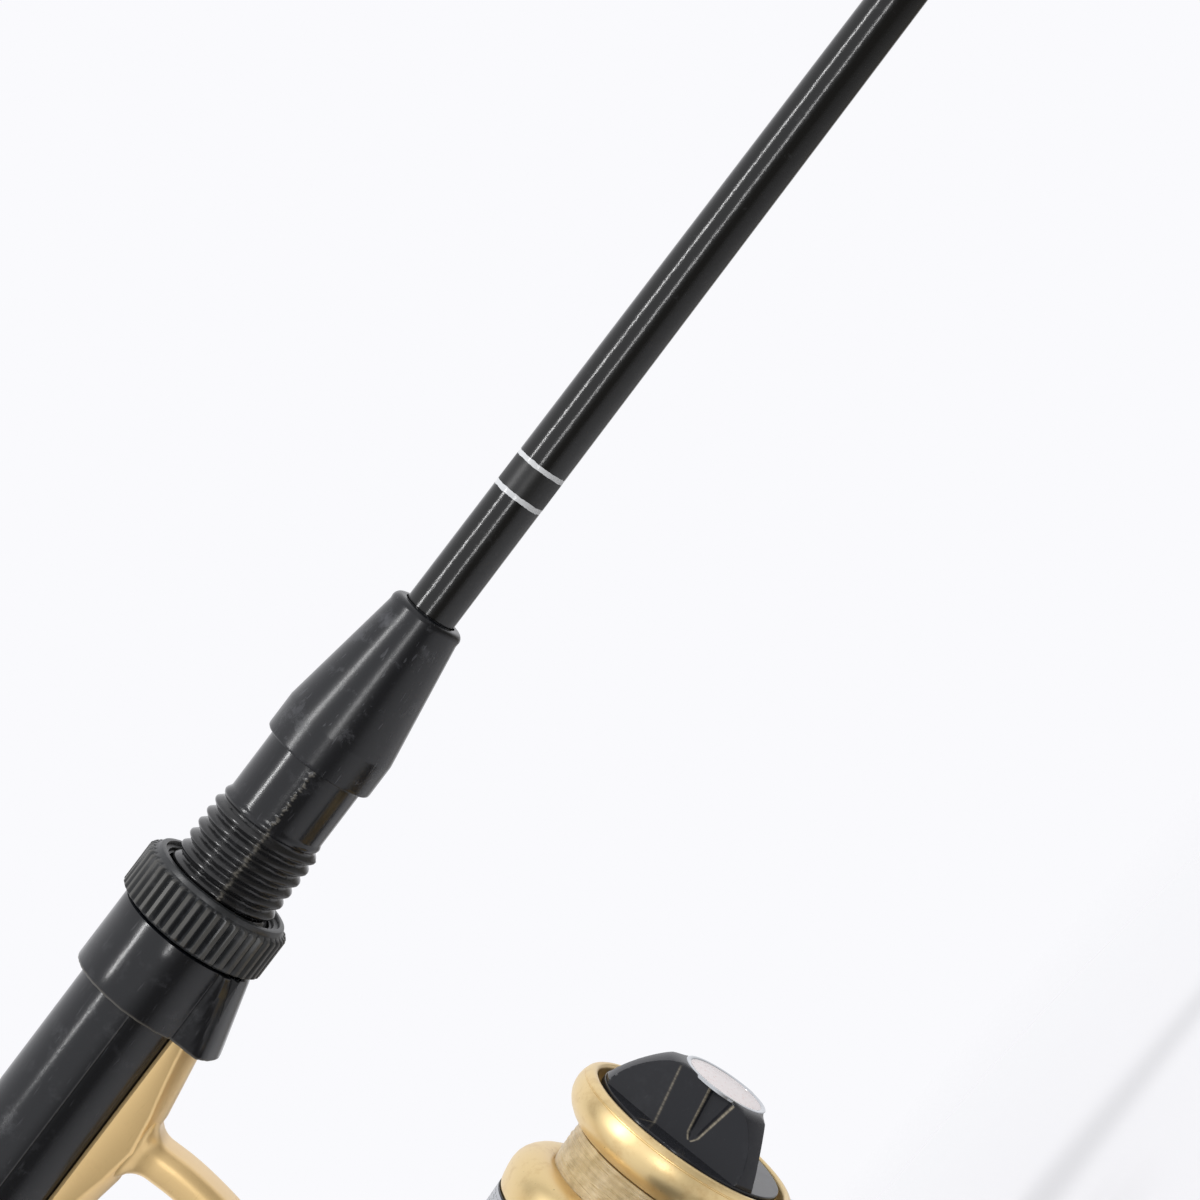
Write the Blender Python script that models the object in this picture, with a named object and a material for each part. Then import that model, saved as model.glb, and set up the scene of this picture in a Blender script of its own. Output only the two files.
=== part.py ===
"""An open-face spinning reel clamped in the seat of a fishing rod's handle.

Metres. +X points to the rod's tip and +Z up, so the reel hangs below the rod.
The origin is on the rod's axis, above the middle of the reel's stem.
The reel is drawn with its axis along X and then tilted, so that its spool points a little up.
"""

import math

import bmesh
import bpy
from mathutils import Matrix, Vector

MM = 0.001
FIT = 0.3 * MM
RUNNING_FIT = 0.2 * MM
ROUND = 18
SMALL_ROUND = 8

# Rod handle
BLANK_RADIUS = 4.1 * MM
BLANK_TAPER = 0.0035
BLANK_WALL = 1.1 * MM
BLANK_REACH = 125.0 * MM
SEAT_RADIUS = 9.1 * MM
BED_HEIGHT = 7.45 * MM
THREAD_ROOT = 7.95 * MM
THREAD_HEIGHT = 0.85 * MM
THREAD_PITCH = 2.1 * MM
NUT_TURNS = 5
THREAD_SPARE = 2.3 * MM
NECK_LENGTH = 10.8 * MM
CONE_SKIRT = 5.6 * MM
CONE_LENGTH = 27.5 * MM
CONE_TIP_RADIUS = 5.9 * MM
HOOD_LENGTH = 12.5 * MM
HOOD_WALL = 1.6 * MM
HOOD_GRIP = 8.1 * MM
BEAK_WALL = 2.4 * MM
BEAK_SIDE = 1.8 * MM
NUT_LENGTH = 8.6 * MM
NUT_WALL = 3.3 * MM
NUT_TEETH = 45
RIDGE_DEPTH = 0.6 * MM
GRIP_LENGTH = 92.0 * MM
GRIP_RADIUS = 12.0 * MM
BUTT_LENGTH = 11.0 * MM

# Reel foot, stem and gear case
AXIS_DROP = 77.3 * MM
AXIS_TILT = math.radians(3.1)
FOOT_FRONT = 26.0 * MM
FOOT_REAR = 30.0 * MM
FOOT_HALF_WIDTH = 6.0 * MM
FOOT_TIP_THICKNESS = 3.1 * MM
FOOT_ROOT_THICKNESS = 6.4 * MM
STEM_THICKNESS = 5.7 * MM
STEM_BEND = 20.0 * MM
STEM_WIDTH = 9.4 * MM
CASE_WALL = 1.8 * MM
COVER_THICKNESS = 2.2 * MM
BOSS_LENGTH = 6.4 * MM

# Gears and shafts
PINION_TEETH = 6
GEAR_TEETH = 28
PINION_PITCH_RADIUS = 3.0 * MM
GEAR_FACE = 2.8 * MM
GEAR_THICKNESS = 3.2 * MM
SHAFT_RADIUS = 1.6 * MM
DRIVE_RADIUS = 3.0 * MM
BEARING_WIDTH = 4.0 * MM
STROKE = 5.0 * MM

# Spool, rotor and bail
LIP_FRONT = 51.9 * MM
LIP_RADIUS = 18.7 * MM
LIP_THICKNESS = 4.3 * MM
LIP_WALL = 2.1 * MM
LINE_WIDTH = 7.0 * MM
LINE_RADIUS = 14.7 * MM
LINE_TURNS = 6
LINE_THICKNESS = 0.5 * MM
ARBOR_RADIUS = 10.8 * MM
SKIRT_RADIUS = 19.8 * MM
SKIRT_LENGTH = 18.6 * MM
SKIRT_WALL = 1.6 * MM
ROTOR_WALL = 2.2 * MM
ARM_GAP = 0.9 * MM
ARM_THICKNESS = 4.0 * MM
ARM_REACH = 4.5 * MM
BAIL_X = 38.0 * MM
BAIL_REACH = 33.0 * MM
BAIL_LEAN = math.radians(20.0)
BAIL_WIRE_RADIUS = 1.0 * MM
BAIL_PLATE = 2.2 * MM
ROLLER_RADIUS = 2.6 * MM

# Drag knob and handle
KNOB_GAP = 1.1 * MM
KNOB_HEIGHT = 8.7 * MM
KNOB_TOP_RADIUS = 7.2 * MM
KNOB_TURN = math.radians(-20.5)
KNOB_FLATS = 3
FLAT_BASE = 9.8 * MM
FLAT_BEND = math.radians(-6.3)
CRANK_LENGTH = 42.0 * MM
CRANK_CLEARANCE = 3.0 * MM
CRANK_PLATE = 3.0 * MM
GRIP_KNOB_LENGTH = 21.0 * MM
GRIP_KNOB_RADIUS = 9.0 * MM

# Sizes that follow from the ones above
BED = BED_HEIGHT + FIT
HOOD_BORE = SEAT_RADIUS + FIT
HOOD_RADIUS = HOOD_BORE + HOOD_WALL
HOOD_REAR = FOOT_FRONT - HOOD_GRIP
HOOD_FRONT = HOOD_REAR + HOOD_LENGTH
NUT_REAR = HOOD_FRONT + FIT
NUT_FRONT = NUT_REAR + NUT_LENGTH
THREAD_CREST = THREAD_ROOT + THREAD_HEIGHT
NUT_RADIUS = THREAD_CREST + FIT + NUT_WALL
NUT_TRAVEL = NUT_TURNS * THREAD_PITCH
THREAD_FRONT = NUT_FRONT + NUT_TRAVEL + THREAD_SPARE
THREAD_REAR = HOOD_FRONT - 1.2 * THREAD_PITCH
CONE_REAR = THREAD_FRONT + NECK_LENGTH
CONE_FRONT = CONE_REAR + CONE_LENGTH
BLANK_FRONT = CONE_FRONT + BLANK_REACH
REAR_HOOD_FRONT = -FOOT_REAR + HOOD_GRIP
REAR_HOOD_REAR = REAR_HOOD_FRONT - HOOD_LENGTH
GRIP_FRONT = REAR_HOOD_REAR - FIT
GRIP_REAR = GRIP_FRONT - GRIP_LENGTH
BUTT_REAR = GRIP_REAR - FIT - BUTT_LENGTH
GEAR_PITCH_RADIUS = PINION_PITCH_RADIUS * GEAR_TEETH / PINION_TEETH
GEAR_X = -GEAR_PITCH_RADIUS
GEAR_OUTER = GEAR_PITCH_RADIUS + GEAR_FACE / 2
GEAR_INNER = GEAR_PITCH_RADIUS - GEAR_FACE / 2
CASE_INNER = GEAR_OUTER + 1.2 * MM
CASE_RADIUS = CASE_INNER + CASE_WALL
TOOTH_TIP = PINION_PITCH_RADIUS - 0.45 * MM
TOOTH_ROOT = PINION_PITCH_RADIUS + 0.95 * MM
GEAR_BACK = TOOTH_ROOT + GEAR_THICKNESS
CASE_LEFT_INNER = GEAR_BACK + 0.6 * MM
CASE_LEFT = CASE_LEFT_INNER + CASE_WALL + 0.4 * MM
CASE_RIGHT = -7.2 * MM
COVER_RIGHT = CASE_RIGHT - FIT - COVER_THICKNESS
BOSS_LEFT = CASE_LEFT + BOSS_LENGTH
BUSH_RADIUS = DRIVE_RADIUS + RUNNING_FIT + 2.0 * MM
NOSE_REAR = GEAR_X + CASE_INNER
BEARING_REAR = NOSE_REAR + 1.0 * MM
NOSE_FRONT = BEARING_REAR + BEARING_WIDTH
NOSE_RADIUS = 12.2 * MM
PINION_TIP = PINION_PITCH_RADIUS + 0.7 * MM
PINION_NECK = PINION_PITCH_RADIUS - 0.25 * MM
BEARING_RADIUS = 6.0 * MM
LINE_FRONT = LIP_FRONT - LIP_THICKNESS - 3.8 * MM
LINE_REAR = LINE_FRONT - LINE_WIDTH
SHOULDER_FRONT = LINE_REAR + 0.8 * MM
SKIRT_REAR = SHOULDER_FRONT - SKIRT_LENGTH
SKIRT_INNER = SKIRT_RADIUS - 0.7 * MM - SKIRT_WALL
ROTOR_REAR = NOSE_REAR + 3.0 * MM
FLANGE_FRONT = SKIRT_REAR - STROKE - 2.0 * MM
ROTOR_INNER = NOSE_RADIUS + 0.8 * MM
ROTOR_OUTER = ROTOR_INNER + ROTOR_WALL
WEB_REAR = LINE_REAR + 0.3 * MM
ROTOR_FRONT = SHOULDER_FRONT - 5.1 * MM - STROKE - 1.5 * MM
ROTOR_NUT_FRONT = ROTOR_FRONT + FIT + 2.4 * MM
ARM_INNER = SKIRT_RADIUS + ARM_GAP
ARM_OUTER = ARM_INNER + ARM_THICKNESS
PLATE_INNER = ARM_OUTER + FIT
PLATE_OUTER = PLATE_INNER + BAIL_PLATE
BAIL_ARM = 13.0 * MM
DRAG_FLOOR = WEB_REAR + 3.4 * MM
DRAG_RADIUS = ARBOR_RADIUS - 1.5 * MM
KNOB_RADIUS = LIP_RADIUS - LIP_WALL - KNOB_GAP
KNOB_BASE = LIP_FRONT - 1.4 * MM
KNOB_FLANGE = LIP_FRONT
KNOB_TOP = KNOB_FLANGE + KNOB_HEIGHT
CRANK_INNER = PLATE_OUTER + FIT + 1.6 * MM + CRANK_CLEARANCE
CRANK_OUTER = CRANK_INNER + CRANK_PLATE
COLLAR_INNER = BOSS_LEFT + FIT
LEVER_Y = -4.9 * MM
LEVER_DROP = 8.0 * MM
PAWL_DROP = 10.0 * MM

for old in list(bpy.data.objects):
    bpy.data.objects.remove(old, do_unlink=True)


def material(name, colour, roughness, metallic=0.0):
    """A plain material under the name of what the piece is made of."""
    made = bpy.data.materials.new(name)
    made.use_nodes = True
    shader = made.node_tree.nodes["Principled BSDF"]
    shader.inputs["Base Color"].default_value = (*colour, 1.0)
    shader.inputs["Roughness"].default_value = roughness
    shader.inputs["Metallic"].default_value = metallic
    return made


def axis_empty(name, location, parent=None):
    """An empty on a joint's axis, for the pieces that turn or slide with it."""
    empty = bpy.data.objects.new(name, None)
    bpy.context.collection.objects.link(empty)
    empty.location = location
    empty.parent = parent
    return empty


def add_piece(name, bm, look, parent=None):
    """Turns a bmesh into a named object with its own copy of the material."""
    bmesh.ops.remove_doubles(bm, verts=bm.verts, dist=1e-7)
    bmesh.ops.recalc_face_normals(bm, faces=bm.faces)
    if bm.calc_volume(signed=True) < 0:
        bmesh.ops.reverse_faces(bm, faces=bm.faces)
    mesh = bpy.data.meshes.new(name)
    bm.to_mesh(mesh)
    bm.free()
    piece = bpy.data.objects.new(name, mesh)
    bpy.context.collection.objects.link(piece)
    piece.parent = parent
    if look:
        own = look.copy()
        own.name = name + " " + look.name
        mesh.materials.append(own)
        mesh.shade_smooth()
        mesh.set_sharp_from_angle(angle=math.radians(35))
    return piece


def along(axis, distance, u, v):
    """A point at a distance along an axis, with u and v square to it."""
    if axis == "X":
        return (distance, u, v)
    return (-u, distance, v)


def turned(name, outline, look, parent=None, axis="X", segments=ROUND, at=(0, 0, 0)):
    """Spins an outline of (along, radius) points; it is open when both its ends are on the axis."""
    bm = bmesh.new()
    points = [bm.verts.new(along(axis, a, 0, -r)) for a, r in outline]
    solid = outline[0][1] == 0 and outline[-1][1] == 0
    pairs = list(zip(points, points[1:])) if solid else list(zip(points, points[1:] + points[:1]))
    edges = [bm.edges.new(pair) for pair in pairs]
    spin_axis = (1, 0, 0) if axis == "X" else (0, 1, 0)
    bmesh.ops.spin(bm, geom=points + edges, cent=(0, 0, 0), axis=spin_axis, angle=math.tau,
                   steps=segments, use_merge=True)
    bmesh.ops.translate(bm, verts=bm.verts, vec=at)
    return add_piece(name, bm, look, parent)


def ring(name, outline_at, columns, look, parent=None, axis="X"):
    """A closed ring whose outline changes with the angle, measured from straight down."""
    bm = bmesh.new()
    rows = []
    for column in range(columns):
        angle = math.tau * column / columns
        rows.append([bm.verts.new(along(axis, a, r * math.sin(angle), -r * math.cos(angle)))
                     for a, r in outline_at(angle)])
    for one, two in zip(rows, rows[1:] + rows[:1]):
        for i in range(len(one)):
            j = (i + 1) % len(one)
            bm.faces.new((one[i], one[j], two[j], two[i]))
    return add_piece(name, bm, look, parent)


def extruded(name, outline, low, high, look, parent=None, axis="Y", at=(0, 0, 0)):
    """Extrudes an outline: of (x, z) points along Y, or of (y, z) points along X."""
    bm = bmesh.new()
    if axis == "Y":
        face = bm.faces.new([bm.verts.new((u, low, v)) for u, v in outline])
        step = (0, high - low, 0)
    else:
        face = bm.faces.new([bm.verts.new((low, u, v)) for u, v in outline])
        step = (high - low, 0, 0)
    grown = bmesh.ops.extrude_face_region(bm, geom=[face], use_keep_orig=True)
    bmesh.ops.translate(bm, verts=[v for v in grown["geom"] if isinstance(v, bmesh.types.BMVert)], vec=step)
    bmesh.ops.translate(bm, verts=bm.verts, vec=at)
    return add_piece(name, bm, look, parent)


def loft(name, sections, look, parent=None):
    """Joins closed sections, each a list of as many points, and caps the two ends."""
    bm = bmesh.new()
    rows = [[bm.verts.new(p) for p in section] for section in sections]
    for one, two in zip(rows, rows[1:]):
        for i in range(len(one)):
            j = (i + 1) % len(one)
            bm.faces.new((one[i], one[j], two[j], two[i]))
    bm.faces.new(rows[0])
    bm.faces.new(rows[-1])
    return add_piece(name, bm, look, parent)


def combine(piece, tool, operation):
    """Applies an exact Boolean, worked in millimetres, and drops its tool."""
    holder = piece.parent
    piece.parent = None
    piece.data.transform(Matrix.Scale(1 / MM, 4))
    tool.data.transform(Matrix.Scale(1 / MM, 4))
    change = piece.modifiers.new("Boolean", "BOOLEAN")
    change.object = tool
    change.operation = operation
    change.solver = "EXACT"
    bpy.context.view_layer.update()
    result = bpy.data.meshes.new_from_object(piece.evaluated_get(bpy.context.evaluated_depsgraph_get()))
    piece.modifiers.clear()
    clean = bmesh.new()
    clean.from_mesh(result)
    bmesh.ops.remove_doubles(clean, verts=clean.verts, dist=0.01)
    bmesh.ops.dissolve_degenerate(clean, edges=clean.edges, dist=0.01)
    bmesh.ops.triangulate(clean, faces=clean.faces)
    bmesh.ops.dissolve_degenerate(clean, edges=clean.edges, dist=0.01)
    clean.to_mesh(result)
    clean.free()
    result.transform(Matrix.Scale(MM, 4))
    piece.data = result
    piece.parent = holder
    bpy.data.objects.remove(tool, do_unlink=True)


def box(low, high):
    """A plain block between two corners, as a cutting tool."""
    bm = bmesh.new()
    bmesh.ops.create_cube(bm, size=1.0)
    size = [h - l for l, h in zip(low, high)]
    middle = [(h + l) / 2 for l, h in zip(low, high)]
    bmesh.ops.scale(bm, vec=size, verts=bm.verts)
    bmesh.ops.translate(bm, vec=middle, verts=bm.verts)
    return add_piece("tool", bm, None)


def peg(axis, low, high, radius, at=(0, 0, 0), segments=12):
    """A plain cylinder as a tool."""
    outline = [(low, 0), (low, radius), (high, radius), (high, 0)]
    return turned("tool", outline, None, None, axis, segments, at)


def screw(name, head, shank, head_radius, shank_radius, length, look, parent, axis="Y", at=(0, 0, 0)):
    """A pan-head screw with a cross slot; it points from head to shank along the axis."""
    way = 1 if shank > head else -1
    tip = shank + way * length
    outline = [(head, 0), (head, head_radius * 0.8), (head + way * 0.25 * abs(shank - head), head_radius),
               (shank, head_radius), (shank, shank_radius), (tip - way * 0.3 * MM, shank_radius),
               (tip, shank_radius * 0.7), (tip, 0)]
    piece = turned(name, outline, look, parent, axis, SMALL_ROUND, at)
    deep = head + way * abs(shank - head) * 0.5
    wide = 0.3 * MM
    long = head_radius * 0.65
    over = head - way * MM
    if axis == "Y":
        low = (at[0] - long, min(deep, over) + at[1], at[2] - wide)
        high = (at[0] + long, max(deep, over) + at[1], at[2] + wide)
    else:
        low = (min(deep, over) + at[0], at[1] - long, at[2] - wide)
        high = (max(deep, over) + at[0], at[1] + long, at[2] + wide)
    combine(piece, box(low, high), "DIFFERENCE")
    return piece


def tube(name, points, radius, look, parent=None, sides=2):
    """A round wire along a line of points."""
    curve = bpy.data.curves.new(name, "CURVE")
    curve.dimensions = "3D"
    curve.bevel_depth = radius
    curve.bevel_resolution = sides
    curve.use_fill_caps = True
    spline = curve.splines.new("POLY")
    spline.points.add(len(points) - 1)
    for spot, point in zip(spline.points, points):
        spot.co = (*point, 1.0)
    own = look.copy()
    own.name = name + " " + look.name
    curve.materials.append(own)
    piece = bpy.data.objects.new(name, curve)
    bpy.context.collection.objects.link(piece)
    piece.parent = parent
    return piece


def bar(length, first, last, angle, steps=8):
    """The outline of a flat arm with two round ends, from the origin along an angle in X and Z."""
    points = []
    for i in range(steps + 1):
        turn = math.pi / 2 + math.pi * i / steps
        points.append((first * math.cos(turn), first * math.sin(turn)))
    for i in range(steps + 1):
        turn = -math.pi / 2 + math.pi * i / steps
        points.append((length + last * math.cos(turn), last * math.sin(turn)))
    c = math.cos(angle)
    s = math.sin(angle)
    return [(u * c - v * s, u * s + v * c) for u, v in points]


def thread(start, end, root, crest, pitch, segments=16):
    """A solid rod with one right-hand V thread; its phase depends only on X."""
    bm = bmesh.new()
    first = math.ceil(start / pitch) + 1
    turns = math.floor(end / pitch) - 1 - first
    grid = []
    for k in range(turns * segments + 1):
        angle = math.tau * k / segments
        x = (first + k / segments) * pitch
        way = (math.sin(angle), -math.cos(angle))
        grid.append([bm.verts.new((x, root * way[0], root * way[1])),
                     bm.verts.new((x + pitch / 2, crest * way[0], crest * way[1]))])
    for k in range(turns * segments):
        bm.faces.new((grid[k][0], grid[k + 1][0], grid[k + 1][1], grid[k][1]))
    for k in range((turns - 1) * segments):
        bm.faces.new((grid[k][1], grid[k + 1][1], grid[k + 1 + segments][0], grid[k + segments][0]))
    bm.faces.new((grid[0][0], grid[0][1], grid[segments][0]))
    last = turns * segments
    turns_round = [math.tau * i / segments for i in range(segments)]
    low = [bm.verts.new((start, root * math.sin(a), -root * math.cos(a))) for a in turns_round]
    for i in range(segments - 1):
        bm.faces.new((low[i], low[i + 1], grid[i + 1][0], grid[i][0]))
    bm.faces.new((low[-1], low[0], grid[0][0], grid[segments][0], grid[segments - 1][0]))
    bm.faces.new(low)
    final = [grid[last][0]]
    for i in range(1, segments + 1):
        angle = math.tau * i / segments
        x = (first + turns + i / segments) * pitch
        final.append(bm.verts.new((x, root * math.sin(angle), -root * math.cos(angle))))
    for i in range(segments):
        back = last - segments + i
        bm.faces.new((grid[back][1], grid[back + 1][1], final[i + 1], final[i]))
    bm.faces.new((grid[last][0], grid[last][1], final[segments]))
    high = [bm.verts.new((end, root * math.sin(a), -root * math.cos(a))) for a in turns_round]
    bm.faces.new((final[0], final[1], high[1], high[0], final[segments]))
    for i in range(1, segments):
        bm.faces.new((final[i], final[i + 1], high[(i + 1) % segments], high[i]))
    bm.faces.new(high)
    return add_piece("tool", bm, None)


black_plastic = material("moulded black plastic", (0.02, 0.02, 0.022), 0.35)
fibreglass = material("black fibreglass", (0.012, 0.012, 0.014), 0.18)
foam = material("black foam", (0.03, 0.03, 0.03), 0.9)
gold_paint = material("gold paint on cast metal", (0.55, 0.38, 0.15), 0.4, 0.6)
gold_metal = material("gold anodised metal", (0.62, 0.44, 0.18), 0.28, 0.9)
steel = material("steel", (0.55, 0.55, 0.56), 0.28, 1.0)
chrome = material("chromed steel", (0.75, 0.75, 0.76), 0.1, 1.0)
brass = material("brass", (0.62, 0.45, 0.16), 0.3, 1.0)
zinc = material("cast zinc", (0.45, 0.45, 0.46), 0.45, 0.9)
nylon_line = material("nylon line", (0.5, 0.36, 0.16), 0.35)
fibre = material("fibre washer", (0.25, 0.13, 0.06), 0.8)
label_stock = material("printed label", (0.8, 0.68, 0.66), 0.4)
band_foil = material("patterned foil", (0.35, 0.35, 0.36), 0.35, 0.6)

tilt_spot = Vector((LIP_FRONT, 0, -AXIS_DROP))
tilt = Matrix.Rotation(-AXIS_TILT, 4, "Y")
tilt = Matrix.Translation(tilt_spot) @ tilt @ Matrix.Translation(-tilt_spot)
reel_frame = axis_empty("reel_frame", tilt.to_translation())
reel_frame.rotation_euler = (0, -AXIS_TILT, 0)
reel_axis = axis_empty("reel_axis", (0, 0, -AXIS_DROP), reel_frame)
drive_axis = axis_empty("drive_axis", (GEAR_X, 0, -AXIS_DROP), reel_frame)
rotor_axis = axis_empty("rotor_axis", (0, 0, -AXIS_DROP), reel_frame)
shaft_axis = axis_empty("shaft_axis", (0, 0, -AXIS_DROP), reel_frame)
spool_axis = axis_empty("spool_axis", (0, 0, 0), shaft_axis)
knob_axis = axis_empty("knob_axis", (0, 0, 0), shaft_axis)
knob_axis.rotation_euler = (KNOB_TURN, 0, 0)
bail_axis = axis_empty("bail_axis", (BAIL_X, 0, 0), rotor_axis)
bail_axis.rotation_euler = (0, math.pi / 2 - BAIL_LEAN, 0)
roller_axis = axis_empty("roller_axis", (BAIL_ARM, 0, 0), bail_axis)
crank_end = axis_empty("crank_end", (0, 0, -CRANK_LENGTH), drive_axis)
lever_axis = axis_empty("lever_axis", (0, LEVER_Y, -LEVER_DROP), reel_axis)
pawl_axis = axis_empty("pawl_axis", (0, 0, -PAWL_DROP), reel_axis)
hood_axis = axis_empty("hood_axis", (0, 0, 0))
nut_axis = axis_empty("nut_axis", (0, 0, 0), hood_axis)


def blank_radius(x):
    """The blank's outer radius at a place along the rod."""
    return BLANK_RADIUS + BLANK_TAPER * (CONE_FRONT - x)


# Rod blank: a thin tapered tube through the whole handle
BLANK_REAR = GRIP_REAR + 6.0 * MM
blank_outline = [(BLANK_REAR, blank_radius(BLANK_REAR) - BLANK_WALL), (BLANK_REAR, blank_radius(BLANK_REAR)),
                 (BLANK_FRONT, blank_radius(BLANK_FRONT)),
                 (BLANK_FRONT, blank_radius(BLANK_FRONT) - BLANK_WALL)]
turned("rod_blank", blank_outline, fibreglass)

# Fore cone: a short skirt over the seat's front end, then a taper with a rounded tip
SOCKET = 3.0 * MM
CONE_RADIUS = THREAD_ROOT + FIT + 0.85 * MM
cone_bore = blank_radius(CONE_REAR) + FIT
cone_outline = [(CONE_REAR, THREAD_ROOT + FIT), (CONE_REAR, CONE_RADIUS),
                (CONE_REAR + CONE_SKIRT, CONE_RADIUS), (CONE_FRONT - 1.6 * MM, CONE_TIP_RADIUS),
                (CONE_FRONT - 0.5 * MM, CONE_TIP_RADIUS - 0.35 * MM),
                (CONE_FRONT, CONE_TIP_RADIUS - 1.0 * MM), (CONE_FRONT, blank_radius(CONE_FRONT) + FIT),
                (CONE_REAR + SOCKET, cone_bore), (CONE_REAR + SOCKET, THREAD_ROOT + FIT)]
turned("fore_cone", cone_outline, black_plastic)

# Reel seat: one moulding with a flat bed for the foot, a thread for the nut and a plain neck
SEAT_STEP = HOOD_FRONT - 5.0 * MM
SEAT_FRONT = CONE_REAR + SOCKET - FIT
seat_outline = [(REAR_HOOD_REAR, blank_radius(REAR_HOOD_REAR) + FIT), (REAR_HOOD_REAR, SEAT_RADIUS),
                (SEAT_STEP, SEAT_RADIUS), (SEAT_STEP + 0.8 * MM, THREAD_ROOT), (SEAT_FRONT, THREAD_ROOT),
                (SEAT_FRONT, blank_radius(SEAT_FRONT) + FIT)]
seat = turned("reel_seat", seat_outline, black_plastic)
ridge = thread(THREAD_REAR, THREAD_FRONT, THREAD_ROOT - 0.15 * MM, THREAD_CREST, THREAD_PITCH)
combine(ridge, peg("X", THREAD_REAR - MM, THREAD_FRONT + MM, THREAD_ROOT - MM, segments=ROUND), "DIFFERENCE")
combine(seat, ridge, "UNION")
bed_low = (REAR_HOOD_REAR + 2.0 * MM, -20 * MM, -20 * MM)
bed_high = (SEAT_STEP + MM, 20 * MM, -BED_HEIGHT)
combine(seat, box(bed_low, bed_high), "DIFFERENCE")


def foot_thickness(x):
    """How thick the foot is at a distance from the stem."""
    reach = (abs(x) - 6.0 * MM) / (FOOT_FRONT - 6.0 * MM)
    return FOOT_ROOT_THICKNESS + (FOOT_TIP_THICKNESS - FOOT_ROOT_THICKNESS) * max(reach, 0.0)


def beak(angle, bottom, flank, half_width, least):
    """Radius of a hood's skin: a round ring with a straight-sided beak whose lower face is bowed."""
    s = abs(math.sin(angle))
    c = math.cos(angle)
    if c <= 0.05:
        return least
    side = half_width / max(s, 1e-6)
    bow = (bottom - flank) * s * s / (half_width * half_width)
    low = bottom / c if bow < 1e-3 else (math.sqrt(c * c + 4 * bow * bottom) - c) / (2 * bow)
    return max(least, min(side, low))


def hood_outline(open_end, closed_end):
    """The outline of a hood at an angle, with a pocket for the foot that follows the foot's own slope."""
    pocket = FOOT_HALF_WIDTH + FIT + 0.1 * MM
    open_depth = BED + foot_thickness(open_end) + FIT + 0.1 * MM
    closed_depth = BED + foot_thickness(closed_end) + FIT + 0.1 * MM
    wide = pocket + BEAK_SIDE

    def outline(angle):
        inner_open = beak(angle, open_depth, open_depth - 0.05 * MM, pocket, HOOD_BORE)
        inner_closed = beak(angle, closed_depth, closed_depth - 0.05 * MM, pocket, HOOD_BORE)
        outer_open = beak(angle, open_depth + BEAK_WALL, open_depth - 0.3 * MM, wide, HOOD_RADIUS)
        outer_closed = beak(angle, closed_depth + 1.0 * MM, closed_depth - 2.4 * MM, wide, HOOD_RADIUS)
        soft = 0.5 * MM if open_end < closed_end else -0.5 * MM
        return [(open_end, inner_open), (open_end, outer_open), (closed_end - soft, outer_closed),
                (closed_end, outer_closed - 0.4 * MM), (closed_end, inner_closed)]
    return outline


# Sliding hood and fixed rear hood: rings with a beak that holds an end of the foot
ring("sliding_hood", hood_outline(HOOD_REAR, HOOD_FRONT), 48, black_plastic, hood_axis)
ring("rear_hood", hood_outline(REAR_HOOD_FRONT, REAR_HOOD_REAR), 48, black_plastic)


def nut_outline(angle):
    """The nut's outline: ridges round it between two plain shoulders."""
    tooth = round(angle / math.tau * NUT_TEETH * 2) % 2
    skin = NUT_RADIUS - RIDGE_DEPTH * tooth
    shoulder = NUT_RADIUS - RIDGE_DEPTH - 0.4 * MM
    bore = THREAD_ROOT - 0.2 * MM
    return [(NUT_REAR, bore), (NUT_REAR, shoulder), (NUT_REAR + 0.4 * MM, skin),
            (NUT_FRONT - 0.9 * MM, skin), (NUT_FRONT, shoulder - 0.2 * MM), (NUT_FRONT, bore)]


# Lock nut: threaded to the same helix as the seat, with a clearance
nut = ring("lock_nut", nut_outline, NUT_TEETH * 2, black_plastic, nut_axis)
tap = thread(NUT_REAR - 3.4 * THREAD_PITCH, NUT_FRONT + 3.4 * THREAD_PITCH, THREAD_ROOT + 0.15 * MM,
             THREAD_CREST + FIT, THREAD_PITCH)
combine(nut, tap, "DIFFERENCE")

# Rear grip and butt cap
grip_bore = blank_radius(GRIP_REAR) + FIT
turned("rear_grip", [(GRIP_FRONT, grip_bore), (GRIP_FRONT, HOOD_RADIUS - 0.4 * MM),
                     (GRIP_FRONT - 1.5 * MM, HOOD_RADIUS), (GRIP_FRONT - GRIP_LENGTH * 0.4, GRIP_RADIUS),
                     (GRIP_REAR + 6 * MM, GRIP_RADIUS - 0.6 * MM), (GRIP_REAR, GRIP_RADIUS - 0.4 * MM),
                     (GRIP_REAR, grip_bore)], foam)
BUTT_FRONT = GRIP_REAR - FIT
butt_outline = [(BUTT_FRONT, 0), (BUTT_FRONT, GRIP_RADIUS), (BUTT_REAR + 2.0 * MM, GRIP_RADIUS + 0.8 * MM),
                (BUTT_REAR + 0.6 * MM, GRIP_RADIUS + 0.4 * MM), (BUTT_REAR, GRIP_RADIUS - 0.6 * MM),
                (BUTT_REAR, 0)]
turned("butt_cap", butt_outline, black_plastic)


def rounded(half_u, half_v, radius, steps=3):
    """The outline of a rectangle with round corners."""
    points = []
    for cu, cv, start in ((1, 1, 0), (-1, 1, 1), (-1, -1, 2), (1, -1, 3)):
        for i in range(steps + 1):
            turn = math.pi / 2 * (start + i / steps)
            points.append((cu * (half_u - radius) + radius * math.cos(turn),
                           cv * (half_v - radius) + radius * math.sin(turn)))
    return points


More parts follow.
